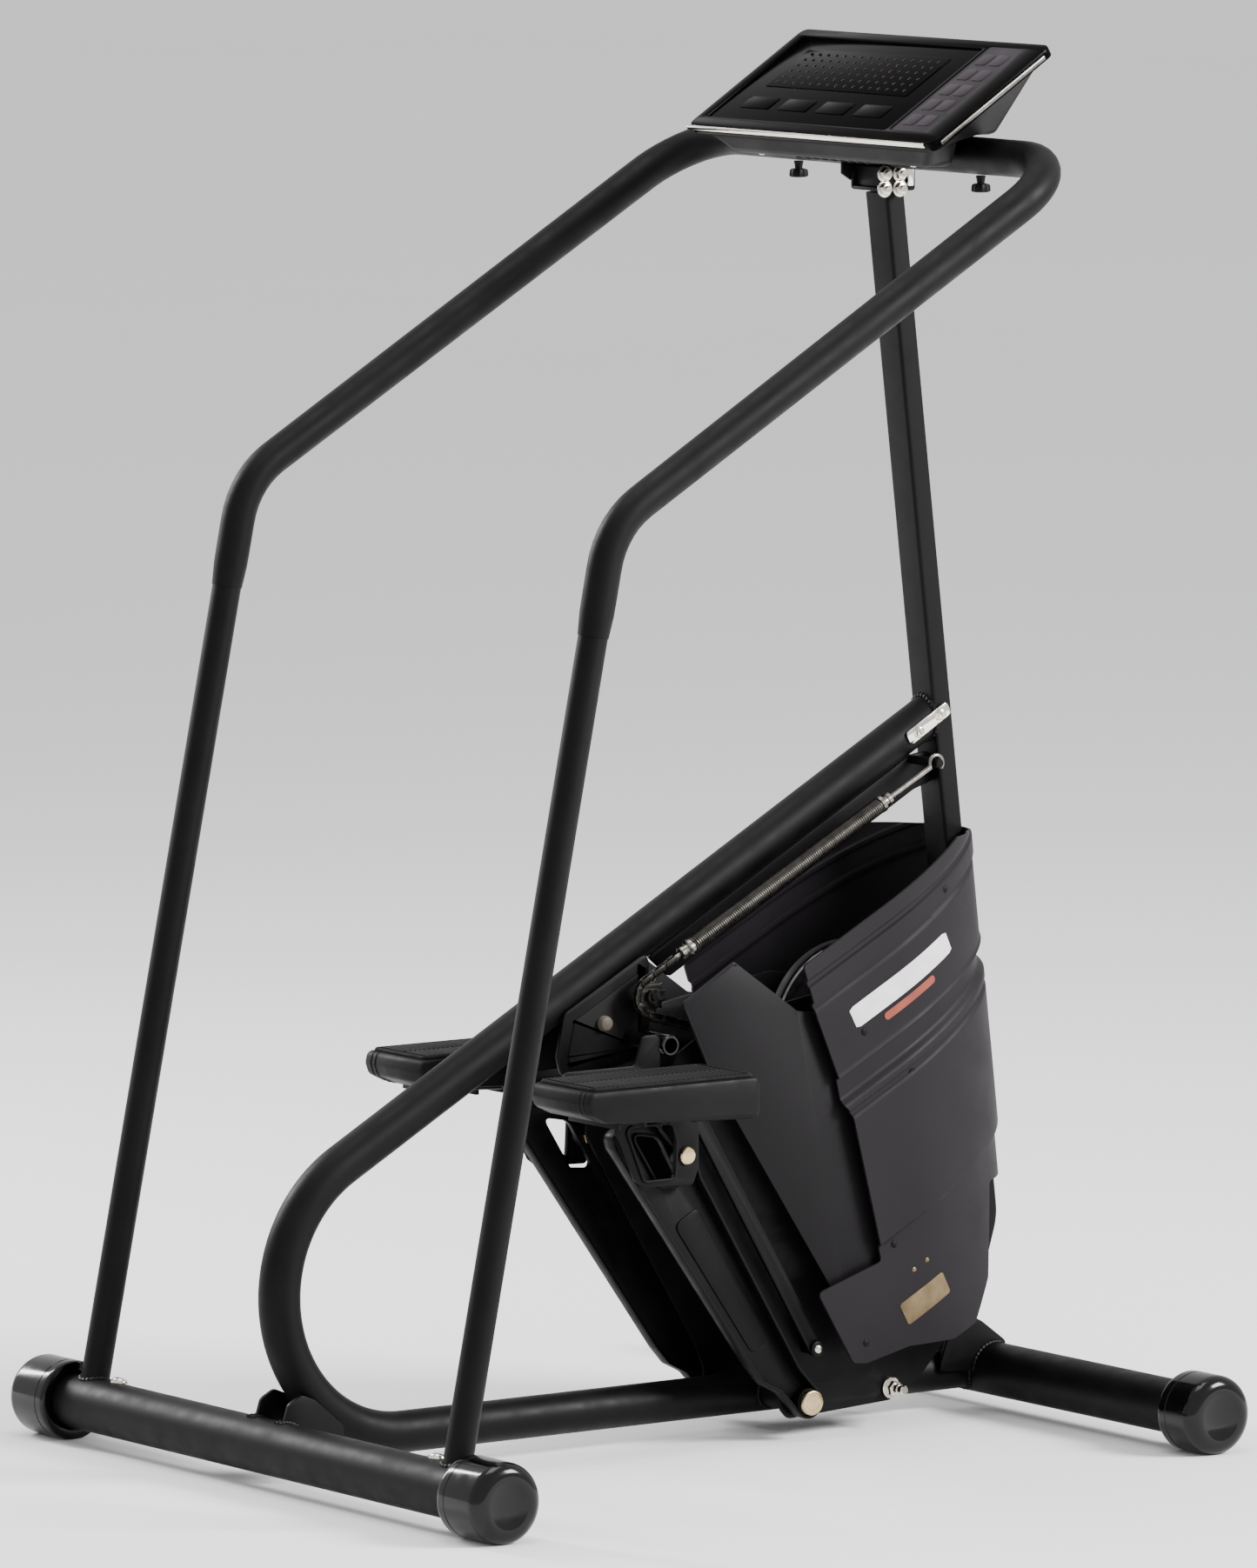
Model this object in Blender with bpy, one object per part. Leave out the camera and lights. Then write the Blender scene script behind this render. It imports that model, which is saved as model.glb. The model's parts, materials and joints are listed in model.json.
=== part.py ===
"""Stair climber: a loop frame on two crossbars, a mast, a wrap-around handrail and a tilted console.

Two pedals ride on parallelogram arms. +X is the user's right, +Y the way the user faces, +Z up, metres.
"""

import math

import bmesh
import bpy
from mathutils import Matrix, Vector

GAP = 0.0003  # between pieces that touch
SIDES = {"left": -1, "right": 1}

# Frame
BAR_RADIUS = 0.03015
BAR_WALL = 0.003
BAR_HEIGHT = 0.043
BAR_Y = 0.48
REAR_HALF, FRONT_HALF = 0.440, 0.425
CAP_RADIUS = 0.0442
CAP_WALL = 0.015
CAP_LENGTH = 0.074
LOOP_RADIUS = 0.0234
LOOP_WALL = 0.0025
BEND_CENTRE = Vector((0, -0.3053, 0.2025))
BEND_RADIUS = BEND_CENTRE.z - BAR_HEIGHT
DIAGONAL_ANGLE = math.radians(29.2)
MAST_HALF_X, MAST_HALF_Y, MAST_WALL = 0.0205, 0.0125, 0.002
MAST_LEAN = 0.117
MAST_KINK_Z, MAST_TOP_Z, MAST_FOOT_Y = 0.215, 1.367, 0.4345
GUSSET = (0.0240, 0.0295)

# Handrail
RAIL_RADIUS = 0.016
RAIL_WALL = 0.002
RAIL_SIDES = 12
RAIL_FOOT = Vector((0.350, -BAR_Y, BAR_HEIGHT))
RAIL_KNEE = Vector((0.348, -0.274, 1.054))
RAIL_CORNER = Vector((0.347, 0.338, 1.415))
GRIP_THIN, GRIP_THICK = 0.0186, 0.0208

# Pedal linkage, at the top of its travel
ARM_PIVOT = (0.172, 0.043)
ARM_LENGTH = 0.3358
ARM_ANGLE = math.radians(30.6)
LINK_OFFSET = (0.012, 0.058)
ARM_X = (0.081, 0.098)
WEB = 0.004
LINK_X = (0.088, 0.094)
CARRIER_X = (0.099, 0.103)
PLATFORM_X = (0.1034, 0.215)
PLATFORM_Y = (-0.205, 0.020)
PLATFORM_Z = (0.394, 0.4297)
SHAFT_RADIUS = 0.008
SLEEVE_RADIUS = 0.0145
BOLT_RADIUS = 0.006
STUD_RADIUS = 0.005
STOP_BAR, STOP_RADIUS = (-0.022, 0.455), 0.0117
CHEEK_X = (0.0225, 0.0275)

# Drive, springs and covers
PLATE_X = (0.070, 0.074)
CHAIN_X = 0.050
CHAIN_WIDTH, CHAIN_DEPTH = 0.008, 0.006
SPRING_REAR, SPRING_PIN = (0.022, 0.541), (0.380, 0.734)
SPRING_RADIUS = 0.0095
IDLER_RADIUS = 0.016
SPROCKET, SPROCKET_RADIUS = (0.27, 0.44), 0.032
PULLEY_RADIUS = 0.10
ALTERNATOR, ALTERNATOR_RADIUS, ROTOR_RADIUS = (0.33, 0.20), 0.052, 0.022
BELT = 0.0025
CROSS_BOLT = (0.301, 0.044)
GUARD_X = (0.1015, 0.1045)
COVER_HALF, COVER_WALL = 0.120, 0.003
NOSE_LENGTH, NOSE_CENTRE, NOSE_LEVEL = 0.197, 0.293, 0.306

# Console, in its own axes: x across, y up the slope, z out of the face
CONSOLE_EDGE = Vector((0, 0.239, 1.434))
CONSOLE_TILT = math.radians(32.4)
CONSOLE_HALF, CONSOLE_LENGTH, BEZEL = 0.227, 0.191, 0.012
DISPLAY = (-0.212, 0.122, 0.018, 0.176)
KEYPAD = (0.130, 0.190, 0.020, 0.180)
PANEL = 0.002
KNOB = (0.168, 0.350)

PAINT = ("black_paint", (0.012, 0.011, 0.013), 0.42, 0.0)
SATIN = ("satin_shell", (0.022, 0.021, 0.024), 0.5, 0.0)
RUBBER = ("rubber", (0.008, 0.008, 0.008), 0.35, 0.0)
VINYL = ("vinyl", (0.015, 0.013, 0.015), 0.5, 0.0)
ZINC = ("zinc", (0.62, 0.60, 0.56), 0.3, 1.0)
STEEL = ("steel", (0.35, 0.34, 0.33), 0.4, 1.0)
GLOSS = ("gloss", (0.006, 0.005, 0.007), 0.08, 0.0)
GREY = ("keypad_grey", (0.08, 0.08, 0.085), 0.4, 0.0)
BOARD = ("board_green", (0.02, 0.10, 0.04), 0.5, 0.0)


def clear_scene():
    for old in list(bpy.data.objects):
        bpy.data.objects.remove(old, do_unlink=True)


def material(look):
    """The named Principled material, made on first use."""
    name, colour, roughness, metallic = look
    found = bpy.data.materials.get(name)
    if found:
        return found
    made = bpy.data.materials.new(name)
    made.use_nodes = True
    shader = made.node_tree.nodes["Principled BSDF"]
    shader.inputs["Base Color"].default_value = (*colour, 1)
    shader.inputs["Roughness"].default_value = roughness
    shader.inputs["Metallic"].default_value = metallic
    return made


def solid(name, mesh, look):
    """An object from a bmesh of one closed surface, its faces turned outwards."""
    bmesh.ops.recalc_face_normals(mesh, faces=mesh.faces)
    data = bpy.data.meshes.new(name)
    mesh.to_mesh(data)
    mesh.free()
    data.shade_smooth()
    data.set_sharp_from_angle(angle=math.radians(35))
    data.materials.append(material(look))
    made = bpy.data.objects.new(name, data)
    bpy.context.collection.objects.link(made)
    return made


def prism(name, outline, across, look=PAINT):
    """The (y, z) outline extruded between two x positions."""
    mesh = bmesh.new()
    ends = [[mesh.verts.new((x, y, z)) for y, z in outline] for x in across]
    for end in ends:
        mesh.faces.new(end)
    for i in range(len(outline)):
        j = (i + 1) % len(outline)
        mesh.faces.new((ends[0][i], ends[0][j], ends[1][j], ends[1][i]))
    return solid(name, mesh, look)


def ring_prism(name, outer, inner, across, look):
    """The band between two (y, z) loops of equal length, extruded between two x positions."""
    mesh = bmesh.new()
    loops = [[mesh.verts.new((x, y, z)) for y, z in loop] for x in across for loop in (outer, inner)]
    near_outer, near_inner, far_outer, far_inner = loops
    for a, b in ((near_outer, near_inner), (near_inner, far_inner), (far_inner, far_outer), (far_outer, near_outer)):
        for i in range(len(outer)):
            j = (i + 1) % len(outer)
            mesh.faces.new((a[i], a[j], b[j], b[i]))
    return solid(name, mesh, look)


def turned(name, profile, centre, look=PAINT, sides=16, closed=False):
    """A profile of (x, radius) points turned about the line along X through (y, z) centre."""
    mesh = bmesh.new()
    rings = []
    for x, radius in profile:
        count = sides if radius > 0 else 1
        angles = [2 * math.pi * (i + 0.5) / sides for i in range(count)]
        rings.append([mesh.verts.new((x, centre[0] + radius * math.cos(a), centre[1] + radius * math.sin(a)))
                      for a in angles])
    if closed:
        rings.append(rings[0])
    for a, b in zip(rings, rings[1:]):
        for i in range(sides):
            j = (i + 1) % sides
            corners = [a[i % len(a)], a[j % len(a)], b[j % len(b)], b[i % len(b)]]
            mesh.faces.new(list(dict.fromkeys(corners)))
    return solid(name, mesh, look)


def cylinder(name, centre, radius, across, look=PAINT, sides=16):
    profile = [(across[0], 0), (across[0], radius), (across[1], radius), (across[1], 0)]
    return turned(name, profile, centre, look, sides)


def circle(radius, sides):
    angles = [2 * math.pi * (i + 0.5) / sides for i in range(sides)]
    return [(radius * math.cos(a), radius * math.sin(a)) for a in angles]


def rectangle(half_x, half_y):
    return [(half_x, half_y), (-half_x, half_y), (-half_x, -half_y), (half_x, -half_y)]


def frames(path):
    """A point and two cross directions at each point of a path, turned as little as possible along it."""
    tangents = []
    for i, point in enumerate(path):
        before = path[max(i - 1, 0)]
        after = path[min(i + 1, len(path) - 1)]
        tangents.append((after - before).normalized())
    side = Vector((1, 0, 0))
    found = []
    for point, tangent in zip(path, tangents):
        if abs(side.dot(tangent)) > 0.99:
            side = Vector((0, 1, 0))
        side = (side - tangent * side.dot(tangent)).normalized()
        found.append((point, side, tangent.cross(side)))
    return found


def swept(name, places, outer, inner=None, look=PAINT):
    """Sections along the places that frames() gives: hollow with open ends where inner is given."""
    mesh = bmesh.new()

    def rings_of(sections):
        rings = []
        for (point, side, up), section in zip(places, sections):
            rings.append([mesh.verts.new(point + side * a + up * b) for a, b in section])
        return rings

    def wall(rings):
        for a, b in zip(rings, rings[1:]):
            for i in range(len(a)):
                j = (i + 1) % len(a)
                mesh.faces.new((a[i], a[j], b[j], b[i]))

    outer_rings = rings_of(outer)
    wall(outer_rings)
    if inner is None:
        mesh.faces.new(outer_rings[0])
        mesh.faces.new(outer_rings[-1])
    else:
        inner_rings = rings_of(inner)
        wall(inner_rings)
        wall([outer_rings[0], inner_rings[0]])
        wall([outer_rings[-1], inner_rings[-1]])
    return solid(name, mesh, look)


def pipe(name, path, radius, wall=None, sides=16, look=PAINT):
    places = frames(path)
    outer = [circle(radius, sides)] * len(path)
    inner = [circle(radius - wall, sides)] * len(path) if wall else None
    return swept(name, places, outer, inner, look)


def rounded_path(corners, radii, step=math.radians(16)):
    """Straight runs joined by arcs of the given radii at the inner corners."""
    path = [corners[0]]
    for before, corner, after, radius in zip(corners, corners[1:], corners[2:], radii):
        into = (corner - before).normalized()
        out = (after - corner).normalized()
        turn = into.angle(out)
        start = corner - into * radius * math.tan(turn / 2)
        axis = into.cross(out)
        if turn < 1e-4 or radius == 0:
            path.append(corner)
            continue
        centre = start + axis.cross(into).normalized() * radius
        count = max(2, math.ceil(turn / step))
        for i in range(count + 1):
            path.append(centre + Matrix.Rotation(turn * i / count, 3, axis.normalized()) @ (start - centre))
    path.append(corners[-1])
    return path


def combine(target, tool, operation):
    """A Boolean of target with a helper, which is then left out of the model."""
    tool.hide_render = True
    tool.display_type = "WIRE"
    tool.name = f"helper_{target.name}_{len(target.modifiers)}"
    modifier = target.modifiers.new(tool.name, "BOOLEAN")
    modifier.operation = operation
    modifier.object = tool
    return target


def cut(target, tool):
    return combine(target, tool, "DIFFERENCE")


def join(target, tool):
    return combine(target, tool, "UNION")


def arc(centre, radius, first, last, count):
    """Points on a circle from one angle to another, in degrees."""
    angles = [math.radians(first + (last - first) * i / count) for i in range(count + 1)]
    return [(centre[0] + radius * math.cos(a), centre[1] + radius * math.sin(a)) for a in angles]


def span(across, sign):
    return (across[0] * sign, across[1] * sign)


def hang(name, centre, pieces, x=0.0):
    """Parents moving pieces to an empty on their joint's axis."""
    empty = bpy.data.objects.new(f"{name}_axis", None)
    empty.location = (x, *centre)
    bpy.context.collection.objects.link(empty)
    for piece in pieces:
        piece.parent = empty
        piece.matrix_parent_inverse = Matrix.Translation(empty.location).inverted()


# Shared geometry

def mast_y(z):
    return 0.3669 - MAST_LEAN * (z - 1.173)


def diagonal_start():
    """Where the rear bend meets the diagonal."""
    up = Vector((0, -math.sin(DIAGONAL_ANGLE), math.cos(DIAGONAL_ANGLE)))
    return BEND_CENTRE + up * BEND_RADIUS


def diagonal_run():
    along = Vector((0, math.cos(DIAGONAL_ANGLE), math.sin(DIAGONAL_ANGLE)))
    return [diagonal_start(), diagonal_start() + along * 0.92]


def on_arm(along, forward):
    """(y, z) of a point given along the arm from its pivot, and forward of that line."""
    y = ARM_PIVOT[0] - along * math.sin(ARM_ANGLE) + forward * math.cos(ARM_ANGLE)
    z = ARM_PIVOT[1] + along * math.cos(ARM_ANGLE) + forward * math.sin(ARM_ANGLE)
    return (y, z)


PEDAL_PIVOT = on_arm(ARM_LENGTH, 0)
LINK_PIVOT = (ARM_PIVOT[0] + LINK_OFFSET[0], ARM_PIVOT[1] + LINK_OFFSET[1])
LINK_END = (PEDAL_PIVOT[0] + LINK_OFFSET[0], PEDAL_PIVOT[1] + LINK_OFFSET[1])


def bar_tool(y):
    return cylinder("tool", (y, BAR_HEIGHT), BAR_RADIUS + 2 * GAP, (-0.5, 0.5), sides=32)


# Frame

def crossbar(name, y, half):
    profile = [(-half, BAR_RADIUS - BAR_WALL), (-half, BAR_RADIUS), (half, BAR_RADIUS), (half, BAR_RADIUS - BAR_WALL)]
    return turned(name, profile, (y, BAR_HEIGHT), sides=32, closed=True)


def end_cap(name, y, half, sign, length):
    """A cup on the bar's end, with a round rim and a flat foot."""
    end = half + CAP_WALL
    mouth = end - length
    bore = BAR_RADIUS + 2 * GAP
    rounding = [(end - 0.014 + 0.014 * math.sin(a), CAP_RADIUS - 0.014 + 0.014 * math.cos(a))
                for a in (0, 0.45, 0.9, math.pi / 2)]
    profile = [(half + GAP, 0), (half + GAP, bore), (mouth, bore), (mouth, CAP_RADIUS - 0.002),
               (mouth + 0.002, CAP_RADIUS), *rounding, (end, 0)]
    cap = turned(name, [(x * sign, r) for x, r in profile], (y, BAR_HEIGHT), RUBBER, sides=24)
    below = [(y - 0.1, -0.05), (y + 0.1, -0.05), (y + 0.1, 0), (y - 0.1, 0)]
    return cut(cap, prism("tool", below, (-0.5, 0.5)))


def crossbars():
    crossbar("rear_crossbar", -BAR_Y, REAR_HALF)
    crossbar("front_crossbar", BAR_Y, FRONT_HALF)
    for side, sign in SIDES.items():
        end_cap(f"end_cap_rear_{side}", -BAR_Y, REAR_HALF, sign, CAP_LENGTH)
        end_cap(f"end_cap_front_{side}", BAR_Y, FRONT_HALF, sign, CAP_LENGTH - 0.014)


def loop_tube():
    """Bottom run, rear bend and diagonal, bored for the pivot sleeve and the cross bolt."""
    bottom = Vector((0, BAR_Y, BAR_HEIGHT))
    last = math.degrees(DIAGONAL_ANGLE) - 270
    bend = arc((BEND_CENTRE.y, BEND_CENTRE.z), BEND_RADIUS, -90, last, 10)
    path = [bottom, *(Vector((0, y, z)) for y, z in bend), diagonal_run()[1]]
    tube = pipe("loop_tube", path, LOOP_RADIUS, LOOP_WALL)
    cut(tube, bar_tool(BAR_Y))
    ahead = [(mast_y(z) - MAST_HALF_Y * 1.007 - GAP + y, z) for y, z in ((0, 0.5), (0, 1.2), (0.5, 1.2), (0.5, 0.5))]
    cut(tube, prism("tool", ahead, (-0.1, 0.1)))
    cut(tube, cylinder("tool", ARM_PIVOT, SLEEVE_RADIUS + GAP, (-0.1, 0.1)))
    cut(tube, cylinder("tool", CROSS_BOLT, BOLT_RADIUS + GAP, (-0.1, 0.1)))


def mast():
    """A flat-sided tube that leans back over the user and turns in at the foot."""
    path = [Vector((0, MAST_FOOT_Y - 0.005, 0.050)), Vector((0, mast_y(MAST_KINK_Z), MAST_KINK_Z)),
            Vector((0, mast_y(MAST_TOP_Z), MAST_TOP_Z))]
    outer = [rectangle(MAST_HALF_X, MAST_HALF_Y)] * 3
    inner = [rectangle(MAST_HALF_X - MAST_WALL, MAST_HALF_Y - MAST_WALL)] * 3
    tube = swept("mast", frames(path), outer, inner)
    run = [Vector((0, 0.30, BAR_HEIGHT)), Vector((0, 0.60, BAR_HEIGHT))]
    cut(tube, pipe("tool", run, LOOP_RADIUS + 2 * GAP))


def gussets():
    rear = [(-0.480, 0.066), (-0.472, 0.092), (-0.455, 0.101), (-0.438, 0.094), (-0.400, 0.062), (-0.402, 0.046),
            (-0.470, 0.043)]
    front = [(0.402, 0.046), (0.416, 0.087), (0.430, 0.115), (0.463, 0.098), (0.498, 0.072), (0.480, 0.043)]
    for side, sign in SIDES.items():
        cut(prism(f"rear_gusset_{side}", rear, span(GUSSET, sign)), bar_tool(-BAR_Y))
        cut(prism(f"front_gusset_{side}", front, span(GUSSET, sign)), bar_tool(BAR_Y))


def handrail():
    """One tube from the rear crossbar up, over and back down, with a dipped grip from knee to knee."""
    leg = (RAIL_KNEE - RAIL_FOOT).normalized()
    start = RAIL_FOOT + leg * 0.012
    grip_start = RAIL_KNEE - leg * 0.12
    half = [start, grip_start, RAIL_KNEE, RAIL_CORNER]
    mirrored = [Vector((-p.x, p.y, p.z)) for p in reversed(half)]
    path = rounded_path(half + mirrored, [0, 0.10, 0.085, 0.085, 0.10, 0])
    places = frames(path)
    count = len(path)
    outer = [circle(RAIL_RADIUS, RAIL_SIDES)] * count
    inner = [circle(RAIL_RADIUS - RAIL_WALL, RAIL_SIDES)] * count
    cut(swept("handrail", places, outer, inner), bar_tool(-BAR_Y))
    kept = range(1, count - 1)
    reach = [min(i - 1, count - 2 - i) / (count / 2 - 1.5) for i in kept]
    skin = [circle(GRIP_THIN + (GRIP_THICK - GRIP_THIN) * share, RAIL_SIDES) for share in reach]
    bore = [circle(RAIL_RADIUS + GAP, RAIL_SIDES)] * len(skin)
    swept("handrail_grip", [places[i] for i in kept], skin, bore, VINYL)
    seat = MAST_TOP_Z + MAST_HALF_Y * MAST_LEAN + GAP
    clamp = [(0.320, seat), (0.364, seat), (0.364, 1.3925), (0.320, 1.3925)]
    prism("rail_clamp", clamp, (-0.030, 0.030))


# Console

def console_piece(piece):
    piece.location = CONSOLE_EDGE
    piece.rotation_euler.x = CONSOLE_TILT
    return piece


def box(name, x, y, z, look):
    outline = [(y[0], z[0]), (y[1], z[0]), (y[1], z[1]), (y[0], z[1])]
    return prism(name, outline, x, look)


def slope_point(up, out):
    point = CONSOLE_EDGE + Matrix.Rotation(CONSOLE_TILT, 3, "X") @ Vector((0, up, out))
    return (point.y, point.z)


def console_housing():
    """A wedge under the face, narrower below, notched over the rail and hollow for the board."""
    under = -BEZEL - GAP
    top = [slope_point(0.185, under), slope_point(0.006, under)]
    bottom = [(0.268, 1.404), (0.306, 1.404), (0.3165, 1.4368), (0.366, 1.4368)]
    mesh = bmesh.new()
    ends = []
    for sign in (-1, 1):
        high = [mesh.verts.new((sign * 0.214, y, z)) for y, z in top]
        low = [mesh.verts.new((sign * 0.176, y, z)) for y, z in bottom]
        ends.append(high + low)
    for end in ends:
        mesh.faces.new(end)
    for i in range(len(ends[0])):
        j = (i + 1) % len(ends[0])
        mesh.faces.new((ends[0][i], ends[0][j], ends[1][j], ends[1][i]))
    bmesh.ops.triangulate(mesh, faces=mesh.faces)
    housing = solid("console_housing", mesh, SATIN)
    cut(housing, console_piece(box("tool", (-0.165, 0.165), (0.045, 0.140), (-0.030, 0.01), SATIN)))
    console_piece(box("console_board", (-0.155, 0.155), (0.052, 0.134), (-0.0297, -0.0270), BOARD))


def console_face():
    corner = 0.014
    mesh = bmesh.new()
    outline = [(-CONSOLE_HALF + 0.004, 0), (CONSOLE_HALF - 0.004, 0), (CONSOLE_HALF, 0.004)]
    outline += arc((CONSOLE_HALF - corner, CONSOLE_LENGTH - corner), corner, 0, 90, 4)
    outline += arc((-CONSOLE_HALF + corner, CONSOLE_LENGTH - corner), corner, 90, 180, 4)
    outline += [(-CONSOLE_HALF, 0.004)]
    ends = [[mesh.verts.new((x, y, z)) for x, y in outline] for z in (-BEZEL, 0)]
    for end in ends:
        mesh.faces.new(end)
    for i in range(len(outline)):
        j = (i + 1) % len(outline)
        mesh.faces.new((ends[0][i], ends[0][j], ends[1][j], ends[1][i]))
    bezel = console_piece(solid("console_bezel", mesh, GLOSS))
    for name, (left, right, low, high), look in (("console_display", DISPLAY, GLOSS), ("console_keypad", KEYPAD, GREY)):
        cut(bezel, console_piece(box("tool", (left, right), (low, high), (-PANEL, 0.01), look)))
        console_piece(box(name, (left + GAP, right - GAP), (low + GAP, high - GAP), (-PANEL + GAP, 0), look))


def console_knobs():
    profile = [(1.3925, 0), (1.3925, 0.004), (1.3840, 0.004), (1.3830, 0.010), (1.3750, 0.010), (1.3740, 0)]
    for side, sign in SIDES.items():
        knob = turned(f"console_knob_{side}", profile, (0, 0))
        knob.rotation_euler.y = -math.pi / 2
        knob.location = (sign * KNOB[0], KNOB[1], 0)


# Pedal linkage

def pivot():
    """The main pivot: a sleeve through the bottom run, its shaft and two bright caps."""
    reach = ARM_X[0] - GAP
    bore = SHAFT_RADIUS + GAP
    sleeve = [(-reach, bore), (-reach, SLEEVE_RADIUS), (reach, SLEEVE_RADIUS), (reach, bore)]
    turned("pivot_sleeve", sleeve, ARM_PIVOT, closed=True)
    cylinder("pivot_shaft", ARM_PIVOT, SHAFT_RADIUS, (-0.1010, 0.1010), STEEL)
    inner = ARM_X[1] + GAP
    cap = [(0.1013, 0), (0.1013, bore), (inner, bore), (inner, 0.014), (0.1045, 0.014), (0.106, 0.0125), (0.106, 0)]
    for side, sign in SIDES.items():
        turned(f"pivot_cap_{side}", [(x * sign, r) for x, r in cap], ARM_PIVOT, ZINC)
    bolt = [(-0.101, 0), (-0.101, 0.007), (-0.100, 0.008), (-0.0745, 0.008), (-0.0745, BOLT_RADIUS)]
    turned("cross_bolt", bolt + [(-x, r) for x, r in reversed(bolt)], CROSS_BOLT, ZINC)


def arm(side, sign):
    """A pressed channel, open outwards, with a window near its top."""
    foot = arc((0, 0), 0.019, 60, 240, 8)
    head = arc((ARM_LENGTH, 0), 0.016, -10, 120, 6)
    outline = [(0.052, -0.040), (0.078, -0.045), (0.395, -0.074), (0.408, -0.070), (0.411, -0.046), (0.385, -0.010),
               *head, (0.300, 0.008), (0.040, 0.010), *foot, (0.030, -0.026)]
    channel = [(0.072, -0.039), (0.292, -0.0585), (0.292, 0.004), (0.045, 0.006), (0.030, 0.0)]
    window = [(0.389, -0.0394), (0.369, -0.0165), (0.361, -0.0132), (0.3085, -0.0128), (0.3057, -0.0179),
              (0.3197, -0.0376)]
    made = prism(f"pedal_arm_{side}", [on_arm(*p) for p in outline], span(ARM_X, sign))
    pocket = (ARM_X[0] + WEB, 0.12)
    cut(made, prism("tool", [on_arm(*p) for p in channel], span(pocket, sign)))
    cut(made, prism("tool", [on_arm(*p) for p in window], span((0.07, 0.12), sign)))
    cut(made, cylinder("tool", ARM_PIVOT, SHAFT_RADIUS + GAP, span((0.07, 0.12), sign)))
    cut(made, cylinder("tool", PEDAL_PIVOT, BOLT_RADIUS + GAP, span((0.07, 0.12), sign)))
    return made


def pedal_bolt(side, sign):
    nut = ARM_X[0] - GAP
    head = CARRIER_X[1] + GAP
    profile = [(nut - 0.0042, 0), (nut - 0.0042, 0.009), (nut, 0.009), (nut, BOLT_RADIUS), (head, BOLT_RADIUS),
               (head, 0.0095), (head + 0.0045, 0.0095), (head + 0.0045, 0)]
    return turned(f"pedal_bolt_{side}", [(x * sign, r) for x, r in profile], PEDAL_PIVOT, ZINC)


def link(side, sign):
    """The levelling link, parallel to the arm. Its upper hole has clearance round the carrier's stud."""
    tilt = math.degrees(ARM_ANGLE)
    upper = arc(LINK_END, 0.009, tilt, tilt + 180, 6)
    lower = arc(LINK_PIVOT, 0.009, tilt + 180, tilt + 360, 6)
    made = prism(f"levelling_link_{side}", upper + lower, span(LINK_X, sign))
    cut(made, cylinder("tool", LINK_PIVOT, STUD_RADIUS + GAP, span((0.07, 0.12), sign)))
    cut(made, cylinder("tool", LINK_END, STUD_RADIUS + 0.001, span((0.07, 0.12), sign)))
    return made


def carrier(side, sign):
    """The plate between arm, link and platform, with a tab that meets the stop bar from behind."""
    edge = STOP_BAR[0] - STOP_RADIUS - 2 * GAP
    outline = [(-0.165, 0.397), (-0.100, 0.394), (-0.094, 0.364), (-0.068, 0.310), (-0.056, 0.301), (0.010, 0.299),
               (0.018, 0.318), (0.018, 0.372), (0.026, 0.386), (0.024, 0.400), (0.010, 0.408), (edge, 0.420),
               (edge, 0.464), (edge - 0.006, 0.468), (edge - 0.022, 0.468), (edge - 0.034, 0.436), (-0.158, 0.436),
               (-0.165, 0.430)]
    window = [(-0.079, 0.368), (-0.020, 0.368), (-0.014, 0.350), (-0.016, 0.309), (-0.055, 0.309)]
    made = prism(f"pedal_carrier_{side}", outline, span(CARRIER_X, sign))
    cut(made, prism("tool", window, span((0.09, 0.12), sign)))
    cut(made, cylinder("tool", PEDAL_PIVOT, BOLT_RADIUS + GAP, span((0.09, 0.12), sign)))
    inner = LINK_X[0] - GAP
    stud = [(0.101, 0), (0.101, 0.0075), (LINK_X[1] + GAP, 0.0075), (LINK_X[1] + GAP, STUD_RADIUS),
            (inner, STUD_RADIUS), (inner, 0.0085), (inner - 0.0035, 0.0085), (inner - 0.0035, 0)]
    return join(made, turned("tool", [(x * sign, r) for x, r in stud], LINK_END))


def platform(side, sign):
    rear, front = PLATFORM_Y
    low, high = PLATFORM_Z
    outline = [(rear, low + 0.010), (rear - 0.003, low + 0.022), (rear, high), (front, high), (front, low - 0.010),
               (front - 0.06, low - 0.008), (rear + 0.02, low)]
    return prism(f"pedal_platform_{side}", outline, span(PLATFORM_X, sign), SATIN)


def tread(side, sign):
    rear, front = PLATFORM_Y
    across = span((PLATFORM_X[0] + 0.005, PLATFORM_X[1] - 0.005), sign)
    base = PLATFORM_Z[1] + GAP
    return box(f"pedal_tread_{side}", across, (rear + 0.005, front - 0.005), (base, base + 0.0035), RUBBER)


def stop_bracket():
    """Two cheeks on the diagonal, joined by the pedals' top stop and by the chain idlers' axle."""
    outline = [(-0.112, 0.418), (-0.040, 0.424), (0.002, 0.434), (0.006, 0.470), (0.003, 0.500), (0.006, 0.556),
               (-0.108, 0.492), (-0.118, 0.440)]
    bracket = cylinder("stop_bracket", STOP_BAR, STOP_RADIUS, (-0.106, 0.106))
    join(bracket, cylinder("tool", idler_centre(), 0.004, (-0.058, 0.058)))
    for sign in SIDES.values():
        cheek = prism("cheek", outline, span(CHEEK_X, sign))
        cut(cheek, pipe("tool", diagonal_run(), LOOP_RADIUS + 2 * GAP))
        join(bracket, cheek)


def linkage():
    pivot()
    stop_bracket()
    for side, sign in SIDES.items():
        hang(f"arm_{side}", ARM_PIVOT, [arm(side, sign), pedal_bolt(side, sign)])
        hang(f"link_{side}", LINK_PIVOT, [link(side, sign)])
        hang(f"pedal_{side}", PEDAL_PIVOT, [carrier(side, sign), platform(side, sign), tread(side, sign)])


# Drive

def spring_direction():
    y = SPRING_PIN[0] - SPRING_REAR[0]
    z = SPRING_PIN[1] - SPRING_REAR[1]
    length = math.hypot(y, z)
    return (y / length, z / length), length


def pitch(radius):
    """The chain's middle line round a wheel of this radius."""
    return radius + 2 * GAP + CHAIN_DEPTH / 2


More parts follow.
